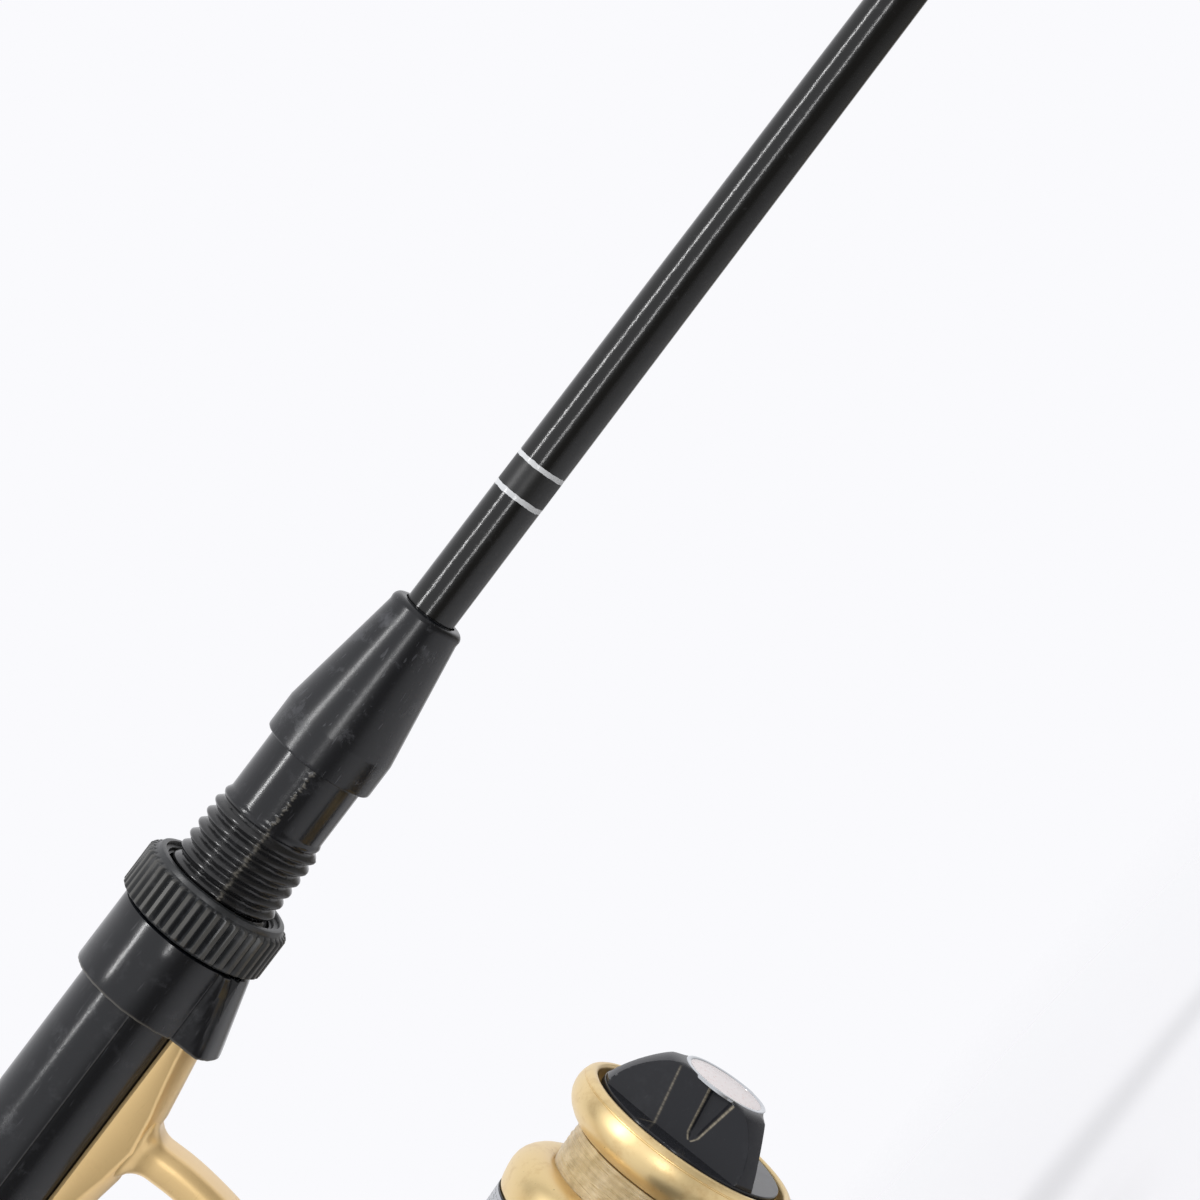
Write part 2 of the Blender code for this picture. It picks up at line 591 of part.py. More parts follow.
# Reel body: foot, stem and gear case in one casting, open on the right for its cover
def foot_section(x):
    """The foot across the rod: flat above, straight sides, and two faces that slope to a low ridge."""
    deep = foot_thickness(x)
    side = deep * (0.42 + 0.42 * max(0.0, 1.0 - abs(x) / HOOD_REAR))
    end = max(0.0, (abs(x) - 0.8 * FOOT_FRONT) / (0.2 * FOOT_FRONT))
    wide = FOOT_HALF_WIDTH * (1.0 - 0.2 * end)
    return [(x, -wide, -BED), (x, wide, -BED), (x, wide, -BED - side), (x, wide * 0.45, -BED - deep * 0.97),
            (x, -wide * 0.45, -BED - deep * 0.97), (x, -wide, -BED - side)]


spots = [-FOOT_REAR, -0.8 * FOOT_REAR, -18 * MM, -6 * MM, 6 * MM, HOOD_REAR, 0.8 * FOOT_FRONT, FOOT_FRONT]
STEM_TOP = BED + 2.0 * MM
case_spot = tilt @ Vector((GEAR_X, 0, -AXIS_DROP))
STEM_END = -case_spot.z - CASE_INNER - 0.6 * MM
stem_sections = []
for i in range(12):
    part = i / 11
    z = -(STEM_TOP + (STEM_END - STEM_TOP) * part)
    flare = max(0.0, 1.0 - (-z - STEM_TOP) / (9.0 * MM)) ** 2
    swell = max(0.0, part - 0.55) / 0.45
    back = max(0.0, (-z - STEM_BEND) / (STEM_END - STEM_BEND)) ** 1.6
    middle = back * (case_spot.x + 1.5 * MM)
    half = STEM_THICKNESS / 2 + 3.0 * MM * flare + 5.6 * MM * swell ** 2
    wide = STEM_WIDTH / 2 + 1.0 * MM * flare + 1.8 * MM * swell ** 2
    stem_sections.append([(middle + u, v, z) for u, v in rounded(half, wide, 0.8 * min(half, wide), 2)])
GEAR_SPOT = (GEAR_X, 0, -AXIS_DROP)
case_outline = [(CASE_RIGHT, 0), (CASE_RIGHT, CASE_RADIUS), (CASE_LEFT - 3.4 * MM, CASE_RADIUS),
                (CASE_LEFT - 1.2 * MM, CASE_RADIUS - 1.1 * MM), (CASE_LEFT, CASE_RADIUS - 3.6 * MM),
                (CASE_LEFT, BUSH_RADIUS + 3.2 * MM), (CASE_LEFT + 0.8 * MM, BUSH_RADIUS + 2.3 * MM),
                (BOSS_LEFT, BUSH_RADIUS + 2.0 * MM), (BOSS_LEFT, 0)]
body = turned("reel_body", case_outline, gold_paint, reel_frame, "Y", 32, GEAR_SPOT)
for sections in (stem_sections, [foot_section(x) for x in spots]):
    limb = loft("tool", sections, None)
    limb.data.transform(tilt.inverted())
    combine(body, limb, "UNION")
nose = turned("tool", [(GEAR_X + 9 * MM, 0), (GEAR_X + 9 * MM, NOSE_RADIUS - 3.4 * MM),
                       (NOSE_REAR - 0.6 * MM, NOSE_RADIUS), (NOSE_FRONT, NOSE_RADIUS), (NOSE_FRONT, 0)],
              None, None, "X", ROUND, (0, 0, -AXIS_DROP))
room = peg("Y", -30 * MM, CASE_RIGHT + 0.1 * MM, CASE_RADIUS + 0.5 * MM, GEAR_SPOT, 36)
combine(nose, room, "DIFFERENCE")
combine(body, nose, "UNION")
combine(body, peg("Y", CASE_RIGHT - MM, CASE_LEFT_INNER, CASE_INNER, GEAR_SPOT, 32), "DIFFERENCE")
screw_spots = []
for turn in (70, 180, 290):
    reach = CASE_INNER - 1.6 * MM
    screw_spots.append((GEAR_X + reach * math.cos(math.radians(turn)), 0,
                        -AXIS_DROP + reach * math.sin(math.radians(turn))))
for spot in screw_spots:
    combine(body, peg("Y", CASE_RIGHT + 0.2 * MM, 1.0 * MM, 2.4 * MM, spot), "UNION")
for spot in screw_spots:
    combine(body, peg("Y", CASE_RIGHT - MM, -0.6 * MM, 1.0 * MM + FIT, spot), "DIFFERENCE")
combine(body, peg("Y", 0, BOSS_LEFT + MM, BUSH_RADIUS + FIT, GEAR_SPOT, ROUND), "DIFFERENCE")
bearing_seat = [(-3 * MM, 0), (-3 * MM, 4.3 * MM), (BEARING_REAR - FIT, 4.3 * MM),
                (BEARING_REAR - FIT, BEARING_RADIUS + FIT), (NOSE_FRONT + MM, BEARING_RADIUS + FIT),
                (NOSE_FRONT + MM, 0)]
combine(body, turned("tool", bearing_seat, None, None, "X", ROUND, (0, 0, -AXIS_DROP)), "DIFFERENCE")
lever_spot = (0, LEVER_Y, -AXIS_DROP - LEVER_DROP)
pawl_spot = (0, 0, -AXIS_DROP - PAWL_DROP)
lever_hole = peg("X", GEAR_X - CASE_RADIUS - 5 * MM, NOSE_FRONT + MM, 1.2 * MM + FIT, lever_spot)
combine(body, lever_hole, "DIFFERENCE")
combine(body, peg("X", NOSE_FRONT - 3.4 * MM, NOSE_FRONT + MM, 1.0 * MM + FIT, pawl_spot), "DIFFERENCE")

# Side cover with its screws
cover_outline = [(COVER_RIGHT, 0), (COVER_RIGHT, CASE_RADIUS - 2.6 * MM),
                 (COVER_RIGHT + 0.7 * MM, CASE_RADIUS - 0.7 * MM), (COVER_RIGHT + 1.6 * MM, CASE_RADIUS),
                 (CASE_RIGHT - FIT, CASE_RADIUS), (CASE_RIGHT - FIT, 0)]
cover = turned("side_cover", cover_outline, gold_paint, reel_frame, "Y", 32, GEAR_SPOT)
for number, spot in enumerate(screw_spots):
    combine(cover, peg("Y", COVER_RIGHT - MM, CASE_RIGHT + MM, 1.0 * MM + FIT, spot), "DIFFERENCE")
    screw(f"cover_screw_{number + 1}", COVER_RIGHT - FIT - 1.3 * MM, COVER_RIGHT - FIT, 2.0 * MM, 1.0 * MM,
          COVER_THICKNESS + FIT + 5.0 * MM, steel, reel_frame, "Y", spot)

# Drive bush, pinion bearing and its retaining plate
bush_bore = DRIVE_RADIUS + RUNNING_FIT
bush_outline = [(CASE_LEFT_INNER + FIT, bush_bore), (CASE_LEFT_INNER + FIT, BUSH_RADIUS),
                (BOSS_LEFT - FIT, BUSH_RADIUS), (BOSS_LEFT - FIT, bush_bore)]
turned("drive_bush", bush_outline, brass, reel_frame, "Y", ROUND, GEAR_SPOT)
turned("pinion_bearing", [(BEARING_REAR, PINION_NECK + RUNNING_FIT), (BEARING_REAR, BEARING_RADIUS),
                          (NOSE_FRONT - FIT, BEARING_RADIUS), (NOSE_FRONT - FIT, PINION_NECK + RUNNING_FIT)],
       steel, reel_axis)
PLATE_REAR = NOSE_FRONT + FIT
PLATE_FRONT = PLATE_REAR + 0.8 * MM
turned("bearing_plate", [(PLATE_REAR, 4.6 * MM), (PLATE_REAR, 7.6 * MM), (PLATE_FRONT, 7.6 * MM),
                         (PLATE_FRONT, 4.6 * MM)], steel, reel_axis)


def crown(angle):
    """The drive gear's outline: face teeth toward the pinion, a rim, a recessed web and a bore."""
    phase = (angle / math.tau * GEAR_TEETH + 0.5) % 1.0
    tooth = TOOTH_TIP if 0.38 < phase < 0.62 else TOOTH_ROOT
    web = GEAR_BACK - 1.6 * MM
    bore = DRIVE_RADIUS + FIT
    return [(web, bore), (web, GEAR_INNER - 1.0 * MM), (TOOTH_ROOT, GEAR_INNER - 0.7 * MM),
            (tooth, GEAR_INNER), (tooth, GEAR_OUTER), (GEAR_BACK, GEAR_OUTER), (GEAR_BACK, bore)]


# Drive gear: a face gear with straight radial teeth that meets the pinion at X = 0
def crown_ring(name, look, parent):
    """Face teeth with four columns each, so that tips and roots are flat."""
    bm = bmesh.new()
    rows = []
    for tooth in range(GEAR_TEETH):
        for part in (-0.22, -0.12, 0.12, 0.22):
            angle = math.tau * (tooth + part) / GEAR_TEETH
            high = abs(part) < 0.15
            line = crown(math.tau * (tooth if high else tooth + 0.5) / GEAR_TEETH)
            rows.append([bm.verts.new((r * math.cos(angle), a, r * math.sin(angle))) for a, r in line])
    for one, two in zip(rows, rows[1:] + rows[:1]):
        for i in range(len(one)):
            j = (i + 1) % len(one)
            bm.faces.new((one[i], one[j], two[j], two[i]))
    return add_piece(name, bm, look, parent)


crown_ring("drive_gear", zinc, drive_axis)
PIN_SPOT = (0, 0, STROKE)
GUIDE_LEFT = 3.0 * MM
PIN_END = GEAR_BACK - 1.6 * MM - FIT
pin_outline = [(GUIDE_LEFT + FIT, 0), (GUIDE_LEFT + FIT, 1.2 * MM), (PIN_END, 1.2 * MM), (PIN_END, 0)]
turned("crank_pin", pin_outline, steel, drive_axis, "Y", 12, PIN_SPOT)
shaft = turned("drive_shaft", [(GEAR_BACK - 2.4 * MM, 0), (GEAR_BACK - 2.4 * MM, DRIVE_RADIUS),
                               (CRANK_OUTER, DRIVE_RADIUS), (CRANK_OUTER, 0)], steel, drive_axis, "Y", 24)
combine(shaft, peg("Y", CRANK_OUTER - 9 * MM, CRANK_OUTER + MM, 1.4 * MM + FIT), "DIFFERENCE")

# Crank handle: a collar on the drive shaft, a flat arm that hangs down, and a knob on its own spindle
collar_outline = [(COLLAR_INNER, DRIVE_RADIUS + FIT), (COLLAR_INNER, 6.2 * MM),
                  (COLLAR_INNER + 3 * MM, 6.2 * MM), (COLLAR_INNER + 5 * MM, 5.0 * MM),
                  (CRANK_INNER - FIT, 5.0 * MM), (CRANK_INNER - FIT, DRIVE_RADIUS + FIT)]
turned("handle_collar", collar_outline, black_plastic, drive_axis, "Y", 24)
arm_outline = bar(CRANK_LENGTH, 6.0 * MM, 4.6 * MM, -math.pi / 2)
arm = extruded("crank_arm", arm_outline, CRANK_INNER, CRANK_OUTER, chrome, drive_axis)
combine(arm, peg("Y", CRANK_INNER - MM, CRANK_OUTER + MM, DRIVE_RADIUS + FIT, (0, 0, 0), 24), "DIFFERENCE")
spindle_hole = peg("Y", CRANK_INNER - MM, CRANK_OUTER + MM, 1.7 * MM + FIT, (0, 0, -CRANK_LENGTH))
combine(arm, spindle_hole, "DIFFERENCE")
screw("handle_screw", CRANK_OUTER + FIT + 2.2 * MM, CRANK_OUTER + FIT, 4.4 * MM, 1.4 * MM, 8.0 * MM,
      steel, drive_axis)
GRIP_INNER = CRANK_OUTER + FIT
GRIP_OUTER = GRIP_INNER + GRIP_KNOB_LENGTH
turned("knob_spindle", [(CRANK_INNER - FIT - 1.4 * MM, 0), (CRANK_INNER - FIT - 1.4 * MM, 2.4 * MM),
                        (CRANK_INNER - FIT - 0.6 * MM, 3.0 * MM), (CRANK_INNER - FIT, 3.0 * MM),
                        (CRANK_INNER - FIT, 1.7 * MM), (GRIP_OUTER - 2.0 * MM, 1.7 * MM),
                        (GRIP_OUTER - 2.0 * MM, 2.6 * MM), (GRIP_OUTER - 0.8 * MM, 2.4 * MM),
                        (GRIP_OUTER - 0.8 * MM, 0)], steel, crank_end, "Y", SMALL_ROUND)


def grip_knob(angle):
    """The handle knob's outline: a paddle, wide along one way and thin along the other."""
    wide = GRIP_KNOB_RADIUS * math.hypot(math.sin(angle), 0.62 * math.cos(angle))
    bore = 1.7 * MM + RUNNING_FIT
    neck = 3.8 * MM
    return [(GRIP_INNER, bore), (GRIP_INNER, neck), (GRIP_INNER + 0.2 * GRIP_KNOB_LENGTH, neck),
            (GRIP_INNER + 0.45 * GRIP_KNOB_LENGTH, 0.5 * neck + 0.5 * wide),
            (GRIP_INNER + 0.7 * GRIP_KNOB_LENGTH, wide), (GRIP_INNER + 0.9 * GRIP_KNOB_LENGTH, 0.93 * wide),
            (GRIP_OUTER, 0.7 * wide), (GRIP_OUTER, 3.0 * MM), (GRIP_OUTER - 2.4 * MM, 3.0 * MM),
            (GRIP_OUTER - 2.4 * MM, bore)]


ring("handle_knob", grip_knob, 16, black_plastic, crank_end, "Y")


def pinion_outline():
    """Six straight teeth, with a gap toward the drive gear."""
    points = []
    root = TOOTH_TIP - 0.3 * MM
    for tooth in range(PINION_TEETH):
        middle = math.tau * (tooth + 0.5) / PINION_TEETH
        for part, r in ((-0.24, root), (-0.08, PINION_TIP), (0.08, PINION_TIP), (0.24, root)):
            angle = middle + part * math.tau / PINION_TEETH
            points.append((r * math.cos(angle), r * math.sin(angle)))
    return points


# Pinion with a neck that carries the ratchet and the rotor
PINION_HALF = GEAR_FACE / 2 + 0.4 * MM
pinion = extruded("pinion_gear", pinion_outline(), -PINION_HALF, PINION_HALF, brass, rotor_axis, "X")
pinion.parent = None
combine(pinion, turned("tool", [(PINION_HALF - 0.1 * MM, 0), (PINION_HALF - 0.1 * MM, PINION_NECK),
                                (ROTOR_NUT_FRONT + 0.4 * MM, PINION_NECK), (ROTOR_NUT_FRONT + 0.4 * MM, 0)],
                       None, None, "X", 24), "UNION")
combine(pinion, peg("X", -10 * MM, ROTOR_NUT_FRONT + 5 * MM, SHAFT_RADIUS + RUNNING_FIT), "DIFFERENCE")
pinion.parent = rotor_axis

RATCHET_REAR = PLATE_FRONT + FIT
RATCHET_FRONT = RATCHET_REAR + 1.8 * MM
RATCHET_RADIUS = 6.6 * MM


def ratchet_outline(angle):
    """Ten saw teeth round a bored disc."""
    phase = (angle / math.tau * 10) % 1.0
    skin = RATCHET_RADIUS - 1.4 * MM * phase
    bore = PINION_NECK + FIT
    return [(RATCHET_REAR, bore), (RATCHET_REAR, skin), (RATCHET_FRONT, skin), (RATCHET_FRONT, bore)]


ring("ratchet_wheel", ratchet_outline, 20, steel, rotor_axis)

# Anti-reverse pawl on its screw, and the lever whose rod reaches it through the case
pawl_outline = [(-1.4 * MM, -2.0 * MM), (1.4 * MM, -2.0 * MM), (2.4 * MM, 0.2 * MM), (2.0 * MM, 1.9 * MM),
                (0.6 * MM, 2.6 * MM), (-1.8 * MM, 2.0 * MM), (-2.4 * MM, 0.3 * MM)]
pawl = extruded("anti_reverse_pawl", pawl_outline, RATCHET_REAR, RATCHET_FRONT - 0.3 * MM, steel, None, "X")
combine(pawl, peg("X", RATCHET_REAR - MM, RATCHET_FRONT + MM, 1.0 * MM + RUNNING_FIT), "DIFFERENCE")
pawl.parent = pawl_axis
screw("pawl_screw", RATCHET_FRONT + 0.9 * MM, RATCHET_FRONT, 1.7 * MM, 1.0 * MM,
      RATCHET_FRONT - NOSE_FRONT + 2.6 * MM, steel, pawl_axis, "X")
LEVER_REAR = GEAR_X - CASE_RADIUS - 1.0 * MM
turned("lever_rod", [(LEVER_REAR + MM, 0), (LEVER_REAR + MM, 1.2 * MM), (NOSE_FRONT + 0.4 * MM, 1.2 * MM),
                     (NOSE_FRONT + 0.4 * MM, 0)], steel, lever_axis, "X", 12)
lever_outline = [(-2.6 * MM, 1.6 * MM), (-2.6 * MM, -3 * MM), (-1.8 * MM, -11 * MM), (1.8 * MM, -11 * MM),
                 (2.6 * MM, -3 * MM), (2.6 * MM, 1.6 * MM), (1.2 * MM, 2.6 * MM), (-1.2 * MM, 2.6 * MM)]
extruded("anti_reverse_lever", lever_outline, LEVER_REAR - 1.9 * MM, LEVER_REAR + 0.7 * MM,
         black_plastic, lever_axis, "X")

# Rotor: a cup that the spool's skirt slides over, a rear flange and two arms beside the spool
rotor_outline = [(ROTOR_REAR, ROTOR_INNER), (ROTOR_REAR, SKIRT_RADIUS - 1.0 * MM),
                 (ROTOR_REAR + 1.4 * MM, SKIRT_RADIUS + 0.9 * MM),
                 (FLANGE_FRONT - 0.8 * MM, SKIRT_RADIUS + 0.9 * MM), (FLANGE_FRONT, SKIRT_RADIUS),
                 (FLANGE_FRONT, ROTOR_OUTER), (ROTOR_FRONT - 1.0 * MM, ROTOR_OUTER),
                 (ROTOR_FRONT, ROTOR_OUTER - 1.0 * MM), (ROTOR_FRONT, PINION_NECK + FIT),
                 (ROTOR_FRONT - 2.4 * MM, PINION_NECK + FIT), (ROTOR_FRONT - 2.4 * MM, ROTOR_INNER)]
rotor = turned("rotor", rotor_outline, black_plastic, None, "X", 24)
ARM_FRONT = BAIL_X + ARM_REACH
for side in (-1, 1):
    arm_rear = ROTOR_REAR + 0.3 * MM
    deep = ROTOR_OUTER + 0.5 * MM
    outline = [(arm_rear, deep), (arm_rear, ARM_OUTER - 3.0 * MM), (arm_rear + 3 * MM, ARM_OUTER),
               (ARM_FRONT - 1.0 * MM, ARM_OUTER), (ARM_FRONT, ARM_OUTER - 1.0 * MM), (ARM_FRONT, ARM_INNER),
               (FLANGE_FRONT - 0.3 * MM, ARM_INNER), (FLANGE_FRONT - 0.5 * MM, deep)]
    sections = []
    for part in (-1.0, -0.8, 0.8, 1.0):
        row = []
        for x, y in outline:
            half = (9.0 - 4.2 * (x - ROTOR_REAR) / (ARM_FRONT - ROTOR_REAR)) * MM
            slim = 0.5 * MM if abs(part) == 1.0 and y > ARM_INNER + 0.1 * MM else 0.0
            row.append((x, side * (y - slim), half * part))
        sections.append(row)
    combine(rotor, loft("tool", sections, None), "UNION")
    low = min(side * (ARM_INNER - MM), side * (ARM_OUTER + MM))
    high = max(side * (ARM_INNER - MM), side * (ARM_OUTER + MM))
    combine(rotor, peg("Y", low, high, 1.3 * MM + FIT, (BAIL_X, 0, 0)), "DIFFERENCE")
SPRING_FLOOR = ARM_OUTER - 2.4 * MM
combine(rotor, peg("Y", SPRING_FLOOR, ARM_OUTER + MM, 3.3 * MM, (BAIL_X, 0, 0), 20), "DIFFERENCE")
rotor.parent = rotor_axis
hexagon = [(5.0 * MM * math.cos(math.pi / 3 * i), 5.0 * MM * math.sin(math.pi / 3 * i)) for i in range(6)]
nut_piece = extruded("rotor_nut", hexagon, ROTOR_FRONT + FIT, ROTOR_NUT_FRONT, steel, None, "X")
combine(nut_piece, peg("X", 0, ROTOR_NUT_FRONT + MM, PINION_NECK + FIT, (0, 0, 0), 24), "DIFFERENCE")
nut_piece.parent = rotor_axis

# Bail: two pivoted plates, a wire between them, a roller for the line and a spring at one pivot
for side, name in ((-1, "bail_arm_roller"), (1, "bail_arm_plain")):
    low = min(side * PLATE_INNER, side * PLATE_OUTER)
    high = max(side * PLATE_INNER, side * PLATE_OUTER)
    plate = extruded(name, bar(BAIL_ARM, 4.6 * MM, 3.2 * MM, 0.0), low, high, chrome)
    combine(plate, peg("Y", low - MM, high + MM, 1.3 * MM + RUNNING_FIT), "DIFFERENCE")
    if side < 0:
        combine(plate, peg("Y", low - MM, high + MM, 1.2 * MM + FIT, (BAIL_ARM, 0, 0)), "DIFFERENCE")
    else:
        boss = peg("Y", PLATE_INNER - 2.2 * MM, PLATE_INNER + MM, 1.7 * MM, (BAIL_ARM, 0, 0))
        combine(plate, boss, "UNION")
    plate.parent = bail_axis
    pivot_name = "bail_pivot_right" if side < 0 else "bail_pivot_left"
    screw(pivot_name, side * (PLATE_OUTER + FIT + 1.4 * MM), side * (PLATE_OUTER + FIT), 3.0 * MM, 1.3 * MM,
          PLATE_OUTER - ARM_INNER - 0.4 * MM, steel, rotor_axis, "Y", (BAIL_X, 0, 0))
ROLLER_END = PLATE_INNER - FIT
ROLLER_START = ROLLER_END - 3.5 * MM
roller_outline = [(-ROLLER_END, 1.2 * MM + RUNNING_FIT), (-ROLLER_END, ROLLER_RADIUS),
                  (-ROLLER_END + 1.2 * MM, ROLLER_RADIUS - 0.5 * MM),
                  (-ROLLER_START - 1.2 * MM, ROLLER_RADIUS - 0.5 * MM),
                  (-ROLLER_START, ROLLER_RADIUS), (-ROLLER_START, 1.2 * MM + RUNNING_FIT)]
turned("line_roller", roller_outline, chrome, roller_axis, "Y", 24)
SPINDLE_END = LIP_RADIUS + FIT + 0.1 * MM
screw("roller_spindle", -(PLATE_OUTER + FIT + 1.2 * MM), -(PLATE_OUTER + FIT), 2.3 * MM, 1.2 * MM,
      PLATE_OUTER + FIT - SPINDLE_END, steel, bail_axis, "Y", (BAIL_ARM, 0, 0))
wire_low = -(ROLLER_START - BAIL_WIRE_RADIUS - FIT)
wire_high = PLATE_INNER - 1.2 * MM
wire_foot = BAIL_ARM + 1.7 * MM + FIT
wire_middle = (wire_low + wire_high) / 2
wire_half = (wire_high - wire_low) / 2
wire = [(wire_foot, wire_low, 0)]
for i in range(21):
    turn = math.pi * i / 20
    reach = wire_foot + 1.2 * MM + (BAIL_REACH - wire_foot - 1.2 * MM) * math.sin(turn)
    wire.append((reach, wire_middle - wire_half * math.cos(turn), 0))
wire.append((wire_foot, wire_high, 0))
tube("bail_wire", wire, BAIL_WIRE_RADIUS, chrome, bail_axis, 1)
coil = []
for i in range(31):
    turn = math.tau * i / 10
    coil.append((BAIL_X + 2.4 * MM * math.cos(turn), SPRING_FLOOR + FIT + 0.3 * MM + 1.4 * MM * i / 30,
                 2.4 * MM * math.sin(turn)))
tube("bail_spring", coil, 0.2 * MM, steel, rotor_axis, 0)

# Main shaft with the guide that the crank pin drives, and the washer that the spool rests on
GUIDE_HALF = 3.2 * MM
SHAFT_REAR = GEAR_X - GUIDE_HALF - 0.8 * MM
SHAFT_FRONT = KNOB_TOP - 3.0 * MM
shaft_outline = [(SHAFT_REAR, 0), (SHAFT_REAR, SHAFT_RADIUS), (SHAFT_FRONT, SHAFT_RADIUS), (SHAFT_FRONT, 0)]
turned("main_shaft", shaft_outline, steel, shaft_axis, "X", SMALL_ROUND)
guide_outline = rounded(GUIDE_HALF, STROKE + 2.9 * MM, 1.0 * MM, 2)
guide = extruded("shaft_guide", guide_outline, 1.2 * MM, GUIDE_LEFT, zinc, None, "Y", (GEAR_X, 0, 0))
block_low = (GEAR_X - GUIDE_HALF + 0.4 * MM, -3.2 * MM, -3.0 * MM)
block_high = (GEAR_X + GUIDE_HALF - 0.4 * MM, 1.6 * MM, 3.0 * MM)
combine(guide, box(block_low, block_high), "UNION")
slot_low = (GEAR_X - 1.5 * MM, 2.0 * MM, -STROKE - 1.5 * MM)
slot_high = (GEAR_X + 1.5 * MM, 5 * MM, STROKE + 1.5 * MM)
combine(guide, box(slot_low, slot_high), "DIFFERENCE")
combine(guide, peg("X", GEAR_X - 10 * MM, GEAR_X + 10 * MM, SHAFT_RADIUS + RUNNING_FIT), "DIFFERENCE")
guide.parent = shaft_axis
WASHER_REAR = WEB_REAR - FIT - 1.2 * MM
washer_outline = [(WASHER_REAR, SHAFT_RADIUS + RUNNING_FIT), (WASHER_REAR, 4.2 * MM),
                  (WEB_REAR - FIT, 4.2 * MM), (WEB_REAR - FIT, SHAFT_RADIUS + RUNNING_FIT)]
turned("spool_washer", washer_outline, steel, shaft_axis)

# Spool: lip, arbor for the line, rounded shoulder and a skirt with a groove for its band
GROOVE = 1.0 * MM
BAND_FRONT = SHOULDER_FRONT - 7.8 * MM
BAND_REAR = SKIRT_REAR + 2.0 * MM
LIP_REAR = LIP_FRONT - LIP_THICKNESS
SHAFT_BORE = SHAFT_RADIUS + RUNNING_FIT
spool_outline = [(SKIRT_REAR, SKIRT_INNER), (SKIRT_REAR, SKIRT_RADIUS - 0.8 * MM),
                 (SKIRT_REAR + 0.5 * MM, SKIRT_RADIUS - 0.4 * MM), (BAND_REAR, SKIRT_RADIUS - 0.4 * MM),
                 (BAND_REAR, SKIRT_RADIUS - GROOVE - 0.1 * MM),
                 (BAND_FRONT, SKIRT_RADIUS - GROOVE - 0.1 * MM),
                 (BAND_FRONT, SKIRT_RADIUS - 0.4 * MM), (SHOULDER_FRONT - 6.6 * MM, SKIRT_RADIUS - 0.2 * MM),
                 (SHOULDER_FRONT - 4.6 * MM, SKIRT_RADIUS),
                 (SHOULDER_FRONT - 2.6 * MM, SKIRT_RADIUS - 0.4 * MM),
                 (SHOULDER_FRONT - 0.9 * MM, SKIRT_RADIUS - 1.6 * MM),
                 (SHOULDER_FRONT - 0.1 * MM, SKIRT_RADIUS - 3.6 * MM), (LINE_REAR, LINE_RADIUS - 0.9 * MM),
                 (LINE_REAR, ARBOR_RADIUS), (LINE_FRONT, ARBOR_RADIUS), (LINE_FRONT + 0.4 * MM, LINE_RADIUS),
                 (LIP_REAR - 2.1 * MM, LIP_RADIUS - 1.8 * MM), (LIP_REAR - 0.9 * MM, LIP_RADIUS - 0.6 * MM),
                 (LIP_REAR + 0.6 * MM, LIP_RADIUS), (LIP_FRONT - 2.6 * MM, LIP_RADIUS),
                 (LIP_FRONT - MM, LIP_RADIUS - 0.4 * MM), (LIP_FRONT - 0.2 * MM, LIP_RADIUS - 0.9 * MM),
                 (LIP_FRONT, LIP_RADIUS - 1.2 * MM),
                 (LIP_FRONT, LIP_RADIUS - LIP_WALL), (KNOB_BASE - 1.6 * MM, LIP_RADIUS - LIP_WALL - 0.4 * MM),
                 (KNOB_BASE - 1.6 * MM, DRAG_RADIUS), (DRAG_FLOOR, DRAG_RADIUS), (DRAG_FLOOR, SHAFT_BORE),
                 (WEB_REAR, SHAFT_BORE), (WEB_REAR, ARBOR_RADIUS - 1.4 * MM),
                 (SHOULDER_FRONT - 3.0 * MM, ARBOR_RADIUS - 0.4 * MM),
                 (SHOULDER_FRONT - 3.4 * MM, SKIRT_INNER - 1.2 * MM),
                 (SHOULDER_FRONT - 4.8 * MM, SKIRT_INNER)]
turned("spool", spool_outline, gold_metal, spool_axis, "X", 24)
band_inner = SKIRT_RADIUS - GROOVE + 0.2 * MM
band_outer = SKIRT_RADIUS - 0.45 * MM
band_outline = [(BAND_REAR + FIT, band_inner), (BAND_REAR + FIT, band_outer), (BAND_FRONT - FIT, band_outer),
                (BAND_FRONT - FIT, band_inner)]
turned("skirt_band", band_outline, band_foil, spool_axis, "X", 24)

# Line: a plain core under one wound layer
CORE_RADIUS = LINE_RADIUS - LINE_THICKNESS - 0.2 * MM
core_outline = [(LINE_REAR + FIT, ARBOR_RADIUS + FIT), (LINE_REAR + FIT, CORE_RADIUS),
                (LINE_FRONT - FIT, CORE_RADIUS), (LINE_FRONT - FIT, ARBOR_RADIUS + FIT)]
turned("line_core", core_outline, nylon_line, spool_axis)
wound = []
span = LINE_WIDTH - 2 * FIT - LINE_THICKNESS
for i in range(LINE_TURNS * 24 + 1):
    turn = math.tau * i / 24
    x = LINE_REAR + FIT + LINE_THICKNESS / 2 + span * i / (LINE_TURNS * 24)
    r = LINE_RADIUS - LINE_THICKNESS / 2
    wound.append(Vector((x, r * math.sin(turn), -r * math.cos(turn))))
least = min((wound[i] - wound[j]).length for i in range(len(wound)) for j in range(i + 12, len(wound)))
print(f"least gap of the line to itself: {(least - LINE_THICKNESS) / MM:.2f} mm")
tube("line_winding", wound, LINE_THICKNESS / 2, nylon_line, spool_axis, 1)

# Drag stack in the front of the spool: fibre and metal washers by turns
place = DRAG_FLOOR + FIT
stack = (("drag_washer_fibre_rear", 0.9 * MM, 8.4 * MM, fibre),
         ("drag_washer_metal", 0.8 * MM, 8.6 * MM, steel),
         ("drag_washer_fibre_front", 0.9 * MM, 8.4 * MM, fibre))
for name, thick, wide, look in stack:
    outer = min(wide, DRAG_RADIUS - FIT)
    bore = SHAFT_RADIUS + FIT
    outline = [(place, bore), (place, outer), (place + thick, outer), (place + thick, bore)]
    turned(name, outline, look, spool_axis, "X", 24)
    place += thick + FIT
DRAG_TOP = place

